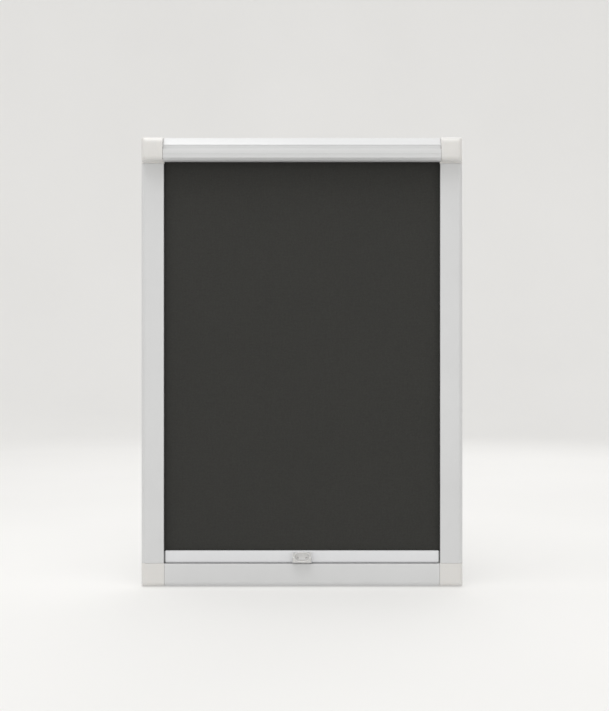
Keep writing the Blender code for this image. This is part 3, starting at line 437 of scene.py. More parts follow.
finishes = {
    "coated_aluminium": coated_aluminium("satin_white_powder_coat", (0.63, 0.635, 0.64)),
    "moulded_plastic": moulded_plastic("fine_textured_warm_plastic", (0.685, 0.675, 0.657)),
    "blackout_fabric": blackout_cloth(),
    "bare_aluminium": metal("drawn_aluminium", (0.76, 0.77, 0.79), 0.30, 30, (1, 60, 60)),
    "plated_steel": metal("zinc_plated_steel", (0.66, 0.67, 0.69), 0.30, 220, (1, 1, 1)),
    "spring_steel": metal("oiled_spring_steel", (0.36, 0.37, 0.39), 0.34, 90, (1, 20, 20)),
    "black_nylon": plain_plastic("black_nylon", (0.060, 0.061, 0.064), 0.48),
    "natural_acetal": plain_plastic("natural_acetal", (0.80, 0.79, 0.74), 0.36),
}

# Nodes whose own tone the photo shows, apart from their slot's
grey_nylon = plain_plastic("grey_nylon", (0.24, 0.242, 0.245), 0.45)
special_finishes = {
    "hem_bar": coated_aluminium("bright_white_powder_coat", (0.72, 0.728, 0.745)),
    # The tab's rim gets a lighter colour: a painted highlight, with finger polish.
    "pull_tab": moulded_plastic(
        "greyer_tab_plastic", (0.56, 0.557, 0.55), polish_and_highlight=(0.86, 0.86, 0.85)
    ),
    "hem_bar_left_guide": grey_nylon,
    "hem_bar_right_guide": grey_nylon,
}


# Shapes


def across(a, b, t):
    """An outline (d, z) carried along X."""
    return (t, -a, b)


def upright(a, b, t):
    """An outline (u, d) of the right-hand side carried along Z."""
    return (edge_x - a, -b, t)


def rail(a, b, t):
    """An outline (u, d) of the bottom side carried along X."""
    return (t, -b, a)


def forward(a, b, t):
    """An outline (x, z) carried from one depth to another."""
    return (a, -t, b)


def arc(centre, radii, start, end, segments):
    angles = [radians(start + (end - start) * i / segments) for i in range(segments + 1)]
    return [(centre[0] + radii[0] * cos(a), centre[1] + radii[1] * sin(a)) for a in angles]


def soft(*points, segments=4):
    """An outline from corners (a, b, radius), each rounded with an arc."""
    outline = []
    for i, (a, b, radius) in enumerate(points):
        corner = Vector((a, b))
        if not radius:
            outline.append((a, b))
            continue
        before = Vector(points[i - 1][:2]) - corner
        after = Vector(points[(i + 1) % len(points)][:2]) - corner
        half = before.angle(after) / 2
        reach = min(radius / tan(half), 0.48 * before.length, 0.48 * after.length)
        turn = reach * tan(half)
        before.normalize()
        after.normalize()
        centre = corner + (before + after).normalized() * turn / sin(half)
        start = corner + before * reach - centre
        end = corner + after * reach - centre
        for step in range(segments + 1):
            way = start.lerp(end, step / segments).normalized()
            outline.append(tuple(centre + way * turn))
    return outline


def sharp(points):
    return [(a, b, 0) for a, b in points]


def soft_box(low, high, radius, segments=4):
    """A rounded rectangle between two corners."""
    (a0, b0), (a1, b1) = low, high
    corners = ((a0, b0), (a1, b0), (a1, b1), (a0, b1))
    return soft(*[(a, b, radius) for a, b in corners], segments=segments)


def disc(centre, radius, sides):
    """A circle of the given number of points, each once."""
    return arc(centre, (radius, radius), 0, 360 * (sides - 1) / sides, sides - 1)


def finished_mesh(shape, name, angle=32):
    bmesh.ops.recalc_face_normals(shape, faces=shape.faces)
    mesh = bpy.data.meshes.new(name)
    shape.to_mesh(mesh)
    shape.free()
    mesh.shade_smooth()
    mesh.set_sharp_from_angle(angle=radians(angle))
    return mesh


def object_from(mesh, name):
    made = bpy.data.objects.new(name, mesh)
    bpy.context.scene.collection.objects.link(made)
    return made


def join_rings(shape, rings):
    for first, second in zip(rings, rings[1:]):
        for i in range(len(first)):
            shape.faces.new((first[i - 1], first[i], second[i], second[i - 1]))


def extrusion(name, outlines, low, high, place):
    """A solid of constant section. A second outline is a hole through it."""
    shape = bmesh.new()
    rings = [
        [[shape.verts.new(place(a, b, t)) for a, b in outline] for t in (low, high)]
        for outline in outlines
    ]
    for pair in rings:
        join_rings(shape, pair)
    for end in (0, 1):
        if len(rings) == 1:
            shape.faces.new(rings[0][end])
        else:
            cap_with_hole(shape, rings[0][end], rings[1][end])
    return object_from(finished_mesh(shape, name), name)


def cap_with_hole(shape, outer, hole):
    """Closes an end between an outline and its hole, with two faces that meet on two bridges."""

    def nearest(vertex):
        return min(range(len(outer)), key=lambda i: (outer[i].co - vertex.co).length)

    def run(ring, first, last):
        count = len(ring)
        return [ring[(first + i) % count] for i in range((last - first) % count + 1)]

    spans = [max(v.co[i] for v in hole) - min(v.co[i] for v in hole) for i in range(3)]
    longest = spans.index(max(spans))
    order = sorted(range(len(hole)), key=lambda i: hole[i].co[longest])
    first, last = order[0], order[-1]
    start, end = nearest(hole[first]), nearest(hole[last])
    shape.faces.new(run(outer, start, end) + run(hole, first, last)[::-1])
    shape.faces.new(run(outer, end, start) + run(hole, last, first)[::-1])


def turned(name, outline, sides):
    """A piece turned on the roller's axis, from (radius, x). Radius 0 closes an end."""
    shape = bmesh.new()
    centre = Vector((0, -roller_depth, roller_z))
    rings = []
    for radius, along in outline:
        ring = []
        for i in range(sides if radius else 1):
            angle = 2 * pi * i / sides
            step = Vector((along, radius * cos(angle), radius * sin(angle)))
            ring.append(shape.verts.new(centre + step))
        rings.append(ring)
    open_end = len(rings[0]) == 1
    for first, second in zip(rings, rings[1:] if open_end else rings[1:] + rings[:1]):
        for i in range(sides):
            corners = [first[i % len(first)], first[(i + 1) % len(first)]]
            corners += [second[(i + 1) % len(second)], second[i % len(second)]]
            shape.faces.new(list(dict.fromkeys(corners)))
    return object_from(finished_mesh(shape, name), name)


def evaluated(piece, name, angle=32):
    """The piece with its modifiers applied."""
    bpy.context.view_layer.update()
    graph = bpy.context.evaluated_depsgraph_get()
    mesh = bpy.data.meshes.new_from_object(piece.evaluated_get(graph))
    mesh.shade_smooth()
    mesh.set_sharp_from_angle(angle=radians(angle))
    return object_from(mesh, name)


def carved(name, form, joined=(), removed=(), angle=32):
    """Joins pieces to a form, then cuts others from it, and keeps only the result."""
    tools = [(tool, "UNION") for tool in joined] + [(tool, "DIFFERENCE") for tool in removed]
    for tool, operation in tools:
        change = form.modifiers.new(tool.name, "BOOLEAN")
        change.operation = operation
        change.object = tool
        change.solver = "EXACT"
    made = evaluated(form, name, angle)
    for spent in [form, *(tool for tool, _ in tools)]:
        if spent.name in bpy.data.objects:
            bpy.data.objects.remove(spent)
    return made


def close_hairlines(piece):
    """Draws shut the hairline holes that a cut can leave where two walls nearly meet."""
    shape = bmesh.new()
    shape.from_mesh(piece.data)
    bmesh.ops.collapse(shape, edges=[edge for edge in shape.edges if edge.is_boundary])
    shape.to_mesh(piece.data)
    shape.free()


def mirrored(piece, name):
    shape = bmesh.new()
    shape.from_mesh(piece.data)
    for vertex in shape.verts:
        vertex.co.x = -vertex.co.x
    return object_from(finished_mesh(shape, name), name)


def left_hand(piece, name):
    """Turns a right-hand piece into the left-hand one."""
    made = mirrored(piece, "flipped")
    bpy.data.objects.remove(piece)
    made.name = name
    return made


def block(low, high):
    """A plain cutter or lug between two corners, in x, d and z."""
    (x0, d0, z0), (x1, d1, z1) = low, high
    outline = [(x0, z0), (x1, z0), (x1, z1), (x0, z1)]
    return extrusion("block", [outline], d0, d1, forward)


def pillow(name, centre, forms, half, firm, crisp, steps=26):
    """A closed body with melted edges, in axes (u, d, z).

    Each form is (first axis, second axis, convex outline). Where forms meet, the body is rounded,
    more where firm is low. Towards the axes in crisp it has nearly sharp edges, for a seam.
    """
    places = [sin(pi / 2 * (2 * i / steps - 1)) for i in range(steps + 1)]
    found, faces = {}, []

    def number(point):
        return found.setdefault(tuple(round(part, 6) for part in point), len(found))

    for axis in range(3):
        for side in (-1, 1):
            for first, first_next in zip(places, places[1:]):
                for second, second_next in zip(places, places[1:]):
                    corners = [(first, second), (first_next, second)]
                    corners += [(first_next, second_next), (first, second_next)]
                    face = []
                    for one, two in corners:
                        point = [one, two]
                        point.insert(axis, side)
                        face.append(number(point))
                    faces.append(face)
    ways = np.array(list(found)) * np.array(half)
    firmness = np.full(len(ways), float(firm))
    for axis, side in crisp:
        share = np.clip((ways[:, axis] * side / half[axis] - 0.6) / 0.3, 0, 1)
        firmness = np.maximum(firmness, firm + share * (SEAM_FIRMNESS - firm))
    total = np.zeros(len(ways))
    for one, two, outline in forms:
        points = np.array(outline) - np.array([centre[one], centre[two]])
        ends = np.roll(points, -1, axis=0)
        edges = ends - points
        normals = np.stack([edges[:, 1], -edges[:, 0]], axis=1)
        reach = (normals * points).sum(axis=1)
        kept = np.abs(reach) > 1e-12
        planes = normals[kept] / reach[kept][:, None]
        gauge = (ways[:, [one, two]] @ planes.T).max(axis=1)
        total += np.maximum(gauge, 1e-9) ** firmness
    points = ways / total[:, None] ** (1 / firmness[:, None]) + np.array(centre)
    shape = bmesh.new()
    vertices = [shape.verts.new((edge_x - u, -d, z)) for u, d, z in points]
    for face in faces:
        shape.faces.new([vertices[i] for i in face])
    return object_from(finished_mesh(shape, name, 50), name)


def settle(piece, node):
    """Gives a finished piece its material, and lets it stand for a CAD node."""
    piece.data.materials.clear()
    piece.data.materials.append(special_finishes.get(node, finishes[slot_of[node]]))
    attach(piece, body_of[node])
    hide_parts(node)
    return piece


# Frame extrusions


def rounded_side(inset, lowest, segments=22):
    centre = (ROUND_WIDTH, ROUND_START)
    radii = (ROUND_WIDTH - inset, profile_depth - inset - ROUND_START)
    start = 180 if lowest <= ROUND_START else 174
    return arc(centre, radii, start, 90, segments)


def frame_section():
    inner = profile_width - WALL
    floor = WEB_FROM_EDGE + WALL
    inside_front = profile_depth - WALL
    web = WEB_FROM_EDGE
    outer = soft(
        (0, 0, EDGE_RADIUS),
        *sharp(rounded_side(0, 0)),
        (profile_width, profile_depth, LIP_RADIUS),
        (profile_width, slot_front, EDGE_RADIUS),
        (inner, slot_front, EDGE_RADIUS),
        (inner, inside_front, 0),
        (floor, inside_front, 0),
        (floor, slot_back, 0),
        (profile_width, slot_back, EDGE_RADIUS),
        (profile_width, 0, EDGE_RADIUS),
        (profile_width - INNER_FOOT, 0, EDGE_RADIUS),
        (profile_width - INNER_FOOT, WALL, EDGE_RADIUS),
        (inner, WALL, 0),
        (inner, RECESS_DEPTH, RECESS_RADIUS),
        (WALL, RECESS_DEPTH, RECESS_RADIUS),
        (WALL, WALL, 0),
        (OUTER_FOOT, WALL, EDGE_RADIUS),
        (OUTER_FOOT, 0, EDGE_RADIUS),
    )
    chamber = soft(
        *sharp(rounded_side(WALL, slot_back)),
        (web, profile_depth - WALL, INSIDE_RADIUS),
        (web, slot_back, INSIDE_RADIUS),
        (WALL + ARC_EASE, slot_back, INSIDE_RADIUS),
    )
    return [outer, chamber]


def spigot_section():
    inset = WALL + SPIGOT_PLAY
    web = WEB_FROM_EDGE - SPIGOT_PLAY
    floor = slot_back + SPIGOT_PLAY
    return soft(
        *sharp(rounded_side(inset, floor, 12)),
        (web, profile_depth - inset, SPIGOT_RADIUS),
        (web, floor, SPIGOT_RADIUS),
        (inset + GAP, floor, SPIGOT_RADIUS),
    )


def frame_extrusions():
    section = frame_section()
    low, high = channel_low.z, channel_high.z
    right = extrusion("right_side_channel_detail", section, low, high, upright)
    left = mirrored(right, "left_side_channel_detail")
    bottom = extrusion("bottom_rail_detail", section, rail_low.x, rail_high.x, rail)
    settle(right, "right_side_channel")
    settle(left, "left_side_channel")
    settle(bottom, "bottom_rail")


def eased_side(start, width, depth, past):
    """A convex side for a melted body: its rounded outer side, drawn a little too deep."""
    middle = (width, ROUND_START)
    radii = (width - start, (depth - ROUND_START) * FRONT_EASE)
    return [(start, -past), *arc(middle, radii, 180, 90, 40), (corner_size, middle[1] + radii[1])]


def bottom_corners():
    middle = corner_size / 2
    far = 3 * corner_size
    side = [*eased_side(0, ROUND_WIDTH, profile_depth, far), (corner_size, -far)]
    faces = [(-far, 0), (far, 0), (far, profile_depth), (-far, profile_depth)]
    form = pillow(
        "corner_form",
        (middle, profile_depth / 2, middle),
        [(0, 1, side[::-1]), (2, 1, side[::-1]), (0, 1, faces)],
        (middle, profile_depth / 2, middle),
        CORNER_FIRMNESS,
        [(0, 1), (2, 1)],
    )
    rooted = corner_size - CORNER_SHELL / 2
    spigots = [
        extrusion("spigot", [spigot_section()], rooted, corner_size + SPIGOT_LENGTH, upright),
        extrusion("spigot", [spigot_section()], seam_x - SPIGOT_LENGTH, edge_x - rooted, rail),
    ]
    wall = CORNER_SHELL
    inner, outer = (seam_x + wall, wall), (edge_x - wall, corner_size - wall)
    pocket = soft_box(inner, outer, CORNER_HOLLOW_RADIUS, 6)
    hollow = extrusion("hollow", [pocket], -WALL, profile_depth - wall, forward)
    right = carved("bottom_right_corner_detail", form, spigots, [hollow])
    settle(mirrored(right, "bottom_left_corner_detail"), "bottom_left_corner")
    settle(right, "bottom_right_corner")


# Cassette


def housing_section():
    under_top = frame_top - WALL
    wall_front = BACK_RECESS + WALL
    chamber_side = wall_front + CHAMBER_WIDTH + WALL
    chamber_floor = under_top - CHAMBER_HEIGHT - WALL
    inner_line = chamfer_line - WALL * sqrt(2)
    step = WALL / sqrt(2)
    seam = GAP / sqrt(2)
    end_depth, end_z = chamfer_end - seam, chamfer_end_z + seam
    lip_front = end_depth - step - 2 * GAP
    lip_back = lip_front - CLIP_LIP[0]
    lip_bottom = end_z - CLIP_LIP[1]
    outer = soft(
        (0, cassette_bottom, EDGE_RADIUS),
        (wall_front, cassette_bottom, EDGE_RADIUS),
        (wall_front, chamber_floor, INSIDE_RADIUS),
        (chamber_side, chamber_floor, SPIGOT_RADIUS),
        (chamber_side, under_top, INSIDE_RADIUS),
        (inner_line - under_top, under_top, CEILING_RADIUS),
        (lip_back, inner_line - lip_back, EDGE_RADIUS),
        (lip_back, lip_bottom, EDGE_RADIUS),
        (lip_front, lip_bottom, EDGE_RADIUS),
        (lip_front, inner_line - lip_front, EDGE_RADIUS),
        (end_depth - step, end_z - step, SEAM_RADII[0]),
        (end_depth, end_z, SEAM_RADII[1]),
        (chamfer_top, frame_top, TOP_EDGE_RADIUS),
        (0, frame_top, EDGE_RADIUS),
        (0, under_top, EDGE_RADIUS),
        (BACK_RECESS, under_top, INSIDE_RADIUS),
        (BACK_RECESS, cassette_bottom + WALL, INSIDE_RADIUS),
        (0, cassette_bottom + WALL, EDGE_RADIUS),
    )
    low = (wall_front, under_top - CHAMBER_HEIGHT)
    chamber = soft_box(low, (wall_front + CHAMBER_WIDTH, under_top), INSIDE_RADIUS)
    return [outer[::-1], chamber[::-1]]


def cover_section():
    """A facet under the chamfer, a prouder band, a groove, and a lower facet with a round edge."""
    front = cassette_depth
    seam = GAP / sqrt(2)
    step = WALL / sqrt(2)
    top_depth, top = chamfer_end + seam, chamfer_end_z - seam
    upper, lower = [cassette_bottom + height for height in GROOVE_HEIGHTS]
    inside = front - WALL - GROOVE
    facet_foot = top_depth + FACET_LEAN
    floor = cassette_bottom + WALL
    outlet = -cover_high.y
    low_front = front - LOWER_LEAN
    undercut, undercut_rise = COVER_UNDERCUT
    radius, bend = COVER_EDGE_RADIUS, SPIGOT_RADIUS
    groove_edge, groove_bottom = GROOVE_RADII
    band_top, band_bottom, facet_top = [front - setback for setback in BAND_SETBACKS]
    outer = soft(
        (top_depth, top, groove_edge),
        (facet_foot, upper + LEDGE_TOP, BAND_TOP),
        (band_top, upper + BAND_TOP, bend),
        (front, (upper + lower) / 2, BAND_CROWN),
        (band_bottom, lower + GROOVE, groove_edge),
        (front - GROOVE_DEPTH, lower, groove_bottom),
        (facet_top, lower - GROOVE, groove_edge),
        (low_front, cassette_bottom + undercut_rise, radius),
        (low_front - undercut, cassette_bottom, radius),
        (outlet, cassette_bottom, EDGE_RADIUS),
        (outlet, cassette_bottom + OUTLET_LIP, EDGE_RADIUS),
        (outlet + WALL, cassette_bottom + OUTLET_LIP, EDGE_RADIUS),
        (outlet + WALL, floor, bend),
        (low_front - undercut, floor, radius),
        (low_front - 1.4 * WALL, floor + undercut_rise, radius - WALL),
        (inside, lower, 0),
        (inside, upper - 2 * BAND_TOP, bend),
        (facet_foot - WALL, upper - BAND_TOP, bend),
        (top_depth - step, top - step, SEAM_RADII[0]),
        segments=6,
    )
    return [outer]


def cassette():
    low, high = housing_low.x, housing_high.x
    housing = extrusion("cassette_housing_detail", housing_section(), low, high, across)
    settle(housing, "cassette_housing")
    cover = extrusion("cassette_front_cover_detail", cover_section(), low, high, across)
    settle(cover, "cassette_front_cover")


# End caps


def cap_side_section(inset):
    """The cap seen from its side: a slightly crowned front, a round nose and a small chin."""
    bottom, top, front = cassette_bottom + inset, frame_top - inset, cap_depth - inset
    return soft(
        (inset, bottom, EDGE_RADIUS),
        (front - CAP_CHIN_LEAN, bottom, CAP_CHIN_RADIUS),
        (front, bottom + CAP_BULGE[0], CAP_BULGE[1]),
        (front - CAP_NOSE_LEAN[0], top - CAP_NOSE_LEAN[1], CAP_NOSE_RADIUS),
        (CAP_CREST[0], top, CAP_CREST[1]),
        (inset, top, EDGE_RADIUS),
        segments=16,
    )


def cap_form(inset):
    side = CAP_INSET + inset
    far = 3 * cap_depth
    plan = eased_side(side, CAP_ROUND_WIDTH, cap_depth - inset, far)
    inner = corner_size - (CAP_WALL if inset else 0)
    plan = [*plan[:-1], (inner, plan[-1][1]), (inner, -far)]
    return pillow(
        "cap_form",
        (corner_size / 2, cap_depth / 2, (cassette_bottom + frame_top) / 2),
        [(1, 2, cap_side_section(inset)), (0, 1, plan[::-1])],
        (corner_size / 2, cap_depth / 2, (frame_top - cassette_bottom) / 2),
        CAP_FIRMNESS,
        [(0, 1)],
        30,
    )


def cap_mouth():
    """The opening that the roller passes, inside the cassette's walls."""
    back = BACK_RECESS + WALL + 2 * GAP
    front = cassette_depth - 2 * WALL
    floor = cassette_bottom + CAP_WALL
    ceiling = frame_top - 2 * WALL
    lug_side = back + CHAMBER_WIDTH + WALL
    lug_floor = frame_top - CHAMBER_HEIGHT - 3 * WALL
    slope = chamfer_line - sqrt(2) * WALL - 2 * GAP
    outline = [
        (back, floor),
        (front, floor),
        (front, slope - front),
        (slope - ceiling, ceiling),
        (lug_side, ceiling),
        (lug_side, lug_floor),
        (back, lug_floor),
    ]
    return extrusion("mouth", [outline], seam_x - WALL, seam_x + 2 * CAP_WALL, across)


def end_cap(name, node, socket):
    filled = [(0, 0, EDGE_RADIUS), *sharp(rounded_side(0, 0))]
    filled += [(corner_size, profile_depth, EDGE_RADIUS), (corner_size, 0, EDGE_RADIUS)]
    base = extrusion("base", [soft(*filled)], cap_bottom, cap_bottom + CAP_BASE, upright)
    outer = carved("outer", cap_form(0), [base])
    lug_back = BACK_RECESS + WALL + GAP
    under_top = frame_top - WALL
    fabric_end = sheet_high.x + SHEET_ROOM
    lug_end = seam_x + CAP_WALL
    clip_back, clip_front = [cassette_depth - depth for depth in CLIP_LUG_DEPTHS]
    clip_bottom = cassette_bottom + WALL + GAP
    boss_start = BOSS_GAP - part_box("spring_end_plug")[0].x
    round_end = disc((roller_depth, roller_z), BOSS_RADIUS, 48)
    boss = extrusion("boss", [round_end], boss_start, edge_x - BOSS_END, across)
    removed = [
        cap_form(CAP_WALL),
        cap_mouth(),
        block(
            (seam_x - WALL, slot_back, cap_bottom - WALL),
            (fabric_end, -cover_high.y - OUTLET_LIP, cassette_bottom + CAP_WALL + WALL),
        ),
    ]
    hollow = carved("hollow_cap", outer, (), removed)
    joined = [
        block(
            (seam_x - TOP_LUG_LENGTH, lug_back, under_top - CHAMBER_HEIGHT + GAP),
            (lug_end, lug_back + CHAMBER_WIDTH - 2 * GAP, under_top - GAP),
        ),
        block(
            (seam_x - CLIP_LUG_LENGTH, clip_back, clip_bottom),
            (lug_end, clip_front, clip_bottom + CLIP_LUG_HEIGHT),
        ),
        extrusion(
            "spigot",
            [spigot_section()],
            cap_bottom - SPIGOT_LENGTH,
            cap_bottom + CAP_BASE / 2,
            upright,
        ),
        boss,
    ]
    made = carved(name, hollow, joined, [socket(boss_start - GAP)])
    close_hairlines(made)
    settle(left_hand(made, name) if "left" in name else made, node)


def square_socket(start):
    low = (start, roller_depth - SOCKET_SQUARE, roller_z - SOCKET_SQUARE)
    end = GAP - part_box("spring_shaft")[0].x
    return block(low, (end, roller_depth + SOCKET_SQUARE, roller_z + SOCKET_SQUARE))


def round_socket(start):
    circle = disc((roller_depth, roller_z), PIN_RADIUS + GAP, 24)
    return extrusion("pin_hole", [circle], start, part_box("idle_pin")[1].x + GAP, across)


# Cloth


def fabric():
    """The hanging sheet: nearly flat, with the faint upright ripples of a cloth on a roller."""
    columns, rows = SHEET_GRID
    width = sheet_high.x - sheet_low.x
    height = sheet_high.z - sheet_low.z
    shape = bmesh.new()
    grid = []
    for row in range(rows + 1):
        up = row / rows
        line = []
        for column in range(columns + 1):
            share = column / columns
            free = min(1, max(0, (share - HELD_EDGE) / (1 - 2 * HELD_EDGE)))
            coarse = sin(2 * pi * RIPPLES[0] * share + RIPPLE_DRIFT * sin(2 * up))
            wave = coarse + FINE_SHARE * sin(2 * pi * RIPPLES[1] * share)
            depth = RIPPLE * sin(pi * free) * sin(pi * up) ** 0.5 * wave / (1 + FINE_SHARE)
            depth += fabric_depth
            point = (sheet_low.x + width * share, -depth, sheet_low.z + height * up)
            line.append(shape.verts.new(point))
        grid.append(line)
    for low, high in zip(grid, grid[1:]):
        for column in range(columns):
            corners = (low[column], low[column + 1], high[column + 1], high[column])
            shape.faces.new(corners)
    cloth = object_from(finished_mesh(shape, "cloth_form"), "cloth_form")
    thickness = cloth.modifiers.new("thickness", "SOLIDIFY")
    thickness.thickness = sheet_high.y - sheet_low.y
    thickness.offset = 0
    made = evaluated(cloth, "blackout_cloth", 60)
    bpy.data.objects.remove(cloth)
    settle(made, "fabric_sheet")
    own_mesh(made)
    return made, (width, height)


def cloth_roll():
    """The turns left on the tube, wound as a spiral of one layer on the next."""
    roll_low, roll_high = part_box("fabric_roll")
    inner = tube_radius + ROLL_LOOSE
    outer = (roll_high.z - roll_low.z) / 2
    growth = (outer - ROLL_LAYER - inner) / ROLL_TURNS
    start = pi - 2 * pi * ROLL_TURNS
    inside, outside = [], []
    for i in range(int(ROLL_TURNS * ROLL_STEPS) + 1):
        share = i / ROLL_STEPS
        angle = start + 2 * pi * share
        radius = inner + growth * share
        for side, reach in ((inside, radius), (outside, radius + ROLL_LAYER * CLOTH_SHARE)):
            side.append((roller_depth + reach * cos(angle), roller_z + reach * sin(angle)))
    spiral = inside + outside[::-1]
    made = extrusion("cloth_roll", [spiral], roll_low.x, roll_high.x, across)
    return settle(made, "fabric_roll")


# Hem bar, with what slides with it


def hem_bar():
    back, front = -hem_high.y, -hem_low.y
    top, bottom = hem_high.z, hem_low.z
    wall, edge, big = HEMBAR_WALL, HEMBAR_EDGE_RADIUS, HEMBAR_FRONT_RADIUS
    slit, (slit_outside, slit_inside) = SPLINE_SLIT / 2, SLIT_RADII
    under_top = top - wall
    floor = under_top - SPLINE_POCKET
    outer = soft(
        (fabric_depth + slit, top, slit_outside),
        (front, top, edge),
        (front, bottom, big),
        (back, bottom, edge),
        (back, top, edge),
        (fabric_depth - slit, top, slit_outside),
        (fabric_depth - slit, under_top, slit_inside),
        (back + wall, under_top, POCKET_RADIUS),
        (back + wall, floor, POCKET_RADIUS),
        (front - wall, floor, POCKET_RADIUS),
        (front - wall, under_top, POCKET_RADIUS),
        (fabric_depth + slit, under_top, slit_inside),
        segments=10,
    )
    chamber = soft(
        (front - wall, floor - wall, POCKET_RADIUS),
        (front - wall, bottom + wall, big - wall),
        (back + wall, bottom + wall, POCKET_RADIUS),
        (back + wall, floor - wall, POCKET_RADIUS),
        segments=10,
    )
    bar = extrusion("hem_bar_detail", [outer, chamber], hem_low.x, hem_high.x, across)
    settle(bar, "hem_bar")


def spline():
    low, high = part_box("fabric_spline")
    outline = soft_box((-high.y, low.z), (-low.y, high.z), SPLINE_RADIUS, 6)
    made = extrusion("fabric_spline_detail", [outline], low.x, high.x, across)
    settle(made, "fabric_spline")


def pull_tab():
    """A soft-rimmed cup for a fingertip, and the pegs that fix it, with a sink mark over each."""
    back = -hem_low.y + GAP
    front = -tab_low.y
    low, high = tab_low.z, tab_high.z
    half = tab_high.x
    foot, face, top_front, top_back = TAB_RADII
    side = soft(
        (back, low, foot),
        (front - TAB_UNDERCUT[0], low, face),
        (front, low + TAB_UNDERCUT[1], face),
        (front, high - TAB_RIM_DROP, face),
        (back + TAB_TOP, high, top_front),
        (back, high, top_back),
        segments=10,
    )
    far = 5 * half
    plan = soft(
        (edge_x - half, -far, 0),
        (edge_x + half, -far, 0),
        (edge_x + half, front + TAB_CORNER_DEPTH, TAB_CORNER),
        (edge_x - half, front + TAB_CORNER_DEPTH, TAB_CORNER),
        segments=12,
    )
    form = pillow(
        "tab_form",
        (edge_x, (back + front) / 2, (low + high) / 2 - TAB_MIDDLE_DROP),
        [(1, 2, side), (0, 1, plan)],
        (half, (front - back) / 2, (high - low) / 2),
        TAB_FIRMNESS,
        [(1, -1)],
        30,
    )
    scoop = ellipsoid((0, front - SCOOP_SETBACK, high + GAP), SCOOP_RADII, SCOOP_BOXINESS)
    aside, inward, rise = DIMPLE_PLACE
    dimples = [
        ellipsoid((x, back + inward, low + rise), DIMPLE_RADII, 2) for x in (-aside, aside)
    ]
    start, end = back - PEG_REACH[0], back + PEG_REACH[1]
    peg_z = (low + high) / 2 + GAP
    pegs = [
        extrusion("peg", [disc((x, peg_z), PEG_RADIUS, 24)], start, end, forward)
        for x in (-PEG_SPACING / 2, PEG_SPACING / 2)
    ]
    cut = carved("tab_cut", form, pegs, [scoop, *dimples])
    remesh = cut.modifiers.new("even", "REMESH")
    remesh.mode = "VOXEL"
    remesh.voxel_size = TAB_VOXEL
    melt = cut.modifiers.new("melt", "SMOOTH")
    melt.factor = 0.5
    melt.iterations = 5
    made = evaluated(cut, "pull_tab_detail", 180)
    bpy.data.objects.remove(cut)
    settle(made, "pull_tab")


def ellipsoid(centre, radii, boxiness, sides=56):
    """A ball with three radii. A boxiness over 2 makes it fuller towards its corners."""
    shape = bmesh.new()
    bmesh.ops.create_uvsphere(shape, u_segments=sides, v_segments=sides // 2, radius=1)
    for vertex in shape.verts:
        size = sum(abs(part) ** boxiness for part in vertex.co) ** (1 / boxiness)
        x, y, z = (part / size * radius for part, radius in zip(vertex.co, radii))
        vertex.co = (centre[0] + x, -centre[1] + y, centre[2] + z)
    return object_from(finished_mesh(shape, "ellipsoid", 60), "ellipsoid")


# Roller and spring unit


def roller_pieces():
    tube, bore, chamfer = tube_radius, tube_radius - TUBE_WALL, TURNED_CHAMFER
    sleeves = {
        "roller_tube": (tube, bore, 96),
        "idle_bush": (BUSH_RADIUS, PIN_RADIUS + GAP, 48),
        "spring_anchor": (bore - GAP, SHAFT_RADIUS + GAP, 72),
        "spring_collar": (COLLAR_RADIUS, SHAFT_RADIUS + GAP, 64),
    }
    for node, (outer, inner, sides) in sleeves.items():
        low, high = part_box(node)
        outline = [
            (outer - chamfer, high.x),
            (outer, high.x - chamfer),
            (outer, low.x + chamfer),
            (outer - chamfer, low.x),
            (inner + chamfer, low.x),
            (inner, low.x + chamfer),
            (inner, high.x - chamfer),
            (inner + chamfer, high.x),
        ]
        settle(turned(f"{node}_detail", outline, sides), node)
    for node, side, hole in (
        ("idle_end_plug", 1, BUSH_RADIUS + GAP),
        ("spring_end_plug", -1, SHAFT_RADIUS + GAP),
    ):
        low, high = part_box(node)
        end, start = (high.x, low.x) if side > 0 else (low.x, high.x)
        shoulder = side * (tube_high.x + GAP)
        body = bore - GAP
        between = body - RIB_HEIGHT
        crest, foot = RIB_HALF_WIDTH * side, RIB_HALF_WIDTH * side * RIB_FLARE
        ribs = []
        for i in range(PLUG_RIBS):
            place = shoulder + (start - shoulder) * (i + 1) / (PLUG_RIBS + 1)
            ribs += [
                (between, place + foot),
                (body, place + crest),
                (body, place - crest),
                (between, place - foot),
            ]
        outline = [
            (hole + chamfer, end),
            (tube - chamfer, end),
            (tube, end - side * chamfer),
            (tube, shoulder),
            (between, shoulder),
            *ribs,
            (body - PLUG_TAPER, start),
            (hole, start),
        ]
        settle(turned(f"{node}_detail", outline, 72), node)


def spring():
    """Close-wound wire, with an end bent inwards into the collar and one into the anchor."""
    low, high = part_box("torsion_spring")
    radius = (high.z - low.z) / 2 - WIRE_RADIUS
    count = SPRING_TURNS * POINTS_PER_TURN
    start, end = low.x + WIRE_RADIUS, high.x - WIRE_RADIUS
    points = [(start, WIRE_END_DEPTH - roller_depth, roller_z)]
    for i in range(count + 1):
        angle = 2 * pi * i / POINTS_PER_TURN
        x = start + (end - start) * i / count
        points.append((x, radius * cos(angle) - roller_depth, roller_z + radius * sin(angle)))
    points.append((end, WIRE_END_DEPTH - roller_depth, roller_z))
    curve = bpy.data.curves.new("wire", "CURVE")
    curve.dimensions = "3D"
    curve.bevel_depth = WIRE_RADIUS
    curve.bevel_resolution = 3
    curve.use_fill_caps = True
    line = curve.splines.new("POLY")
    line.points.add(len(points) - 1)
    for point, place in zip(line.points, points):
        point.co = (*place, 1)
    wire = object_from(curve, "wire")
    made = evaluated(wire, "torsion_spring_detail", 60)
    bpy.data.objects.remove(wire)
    settle(made, "torsion_spring")


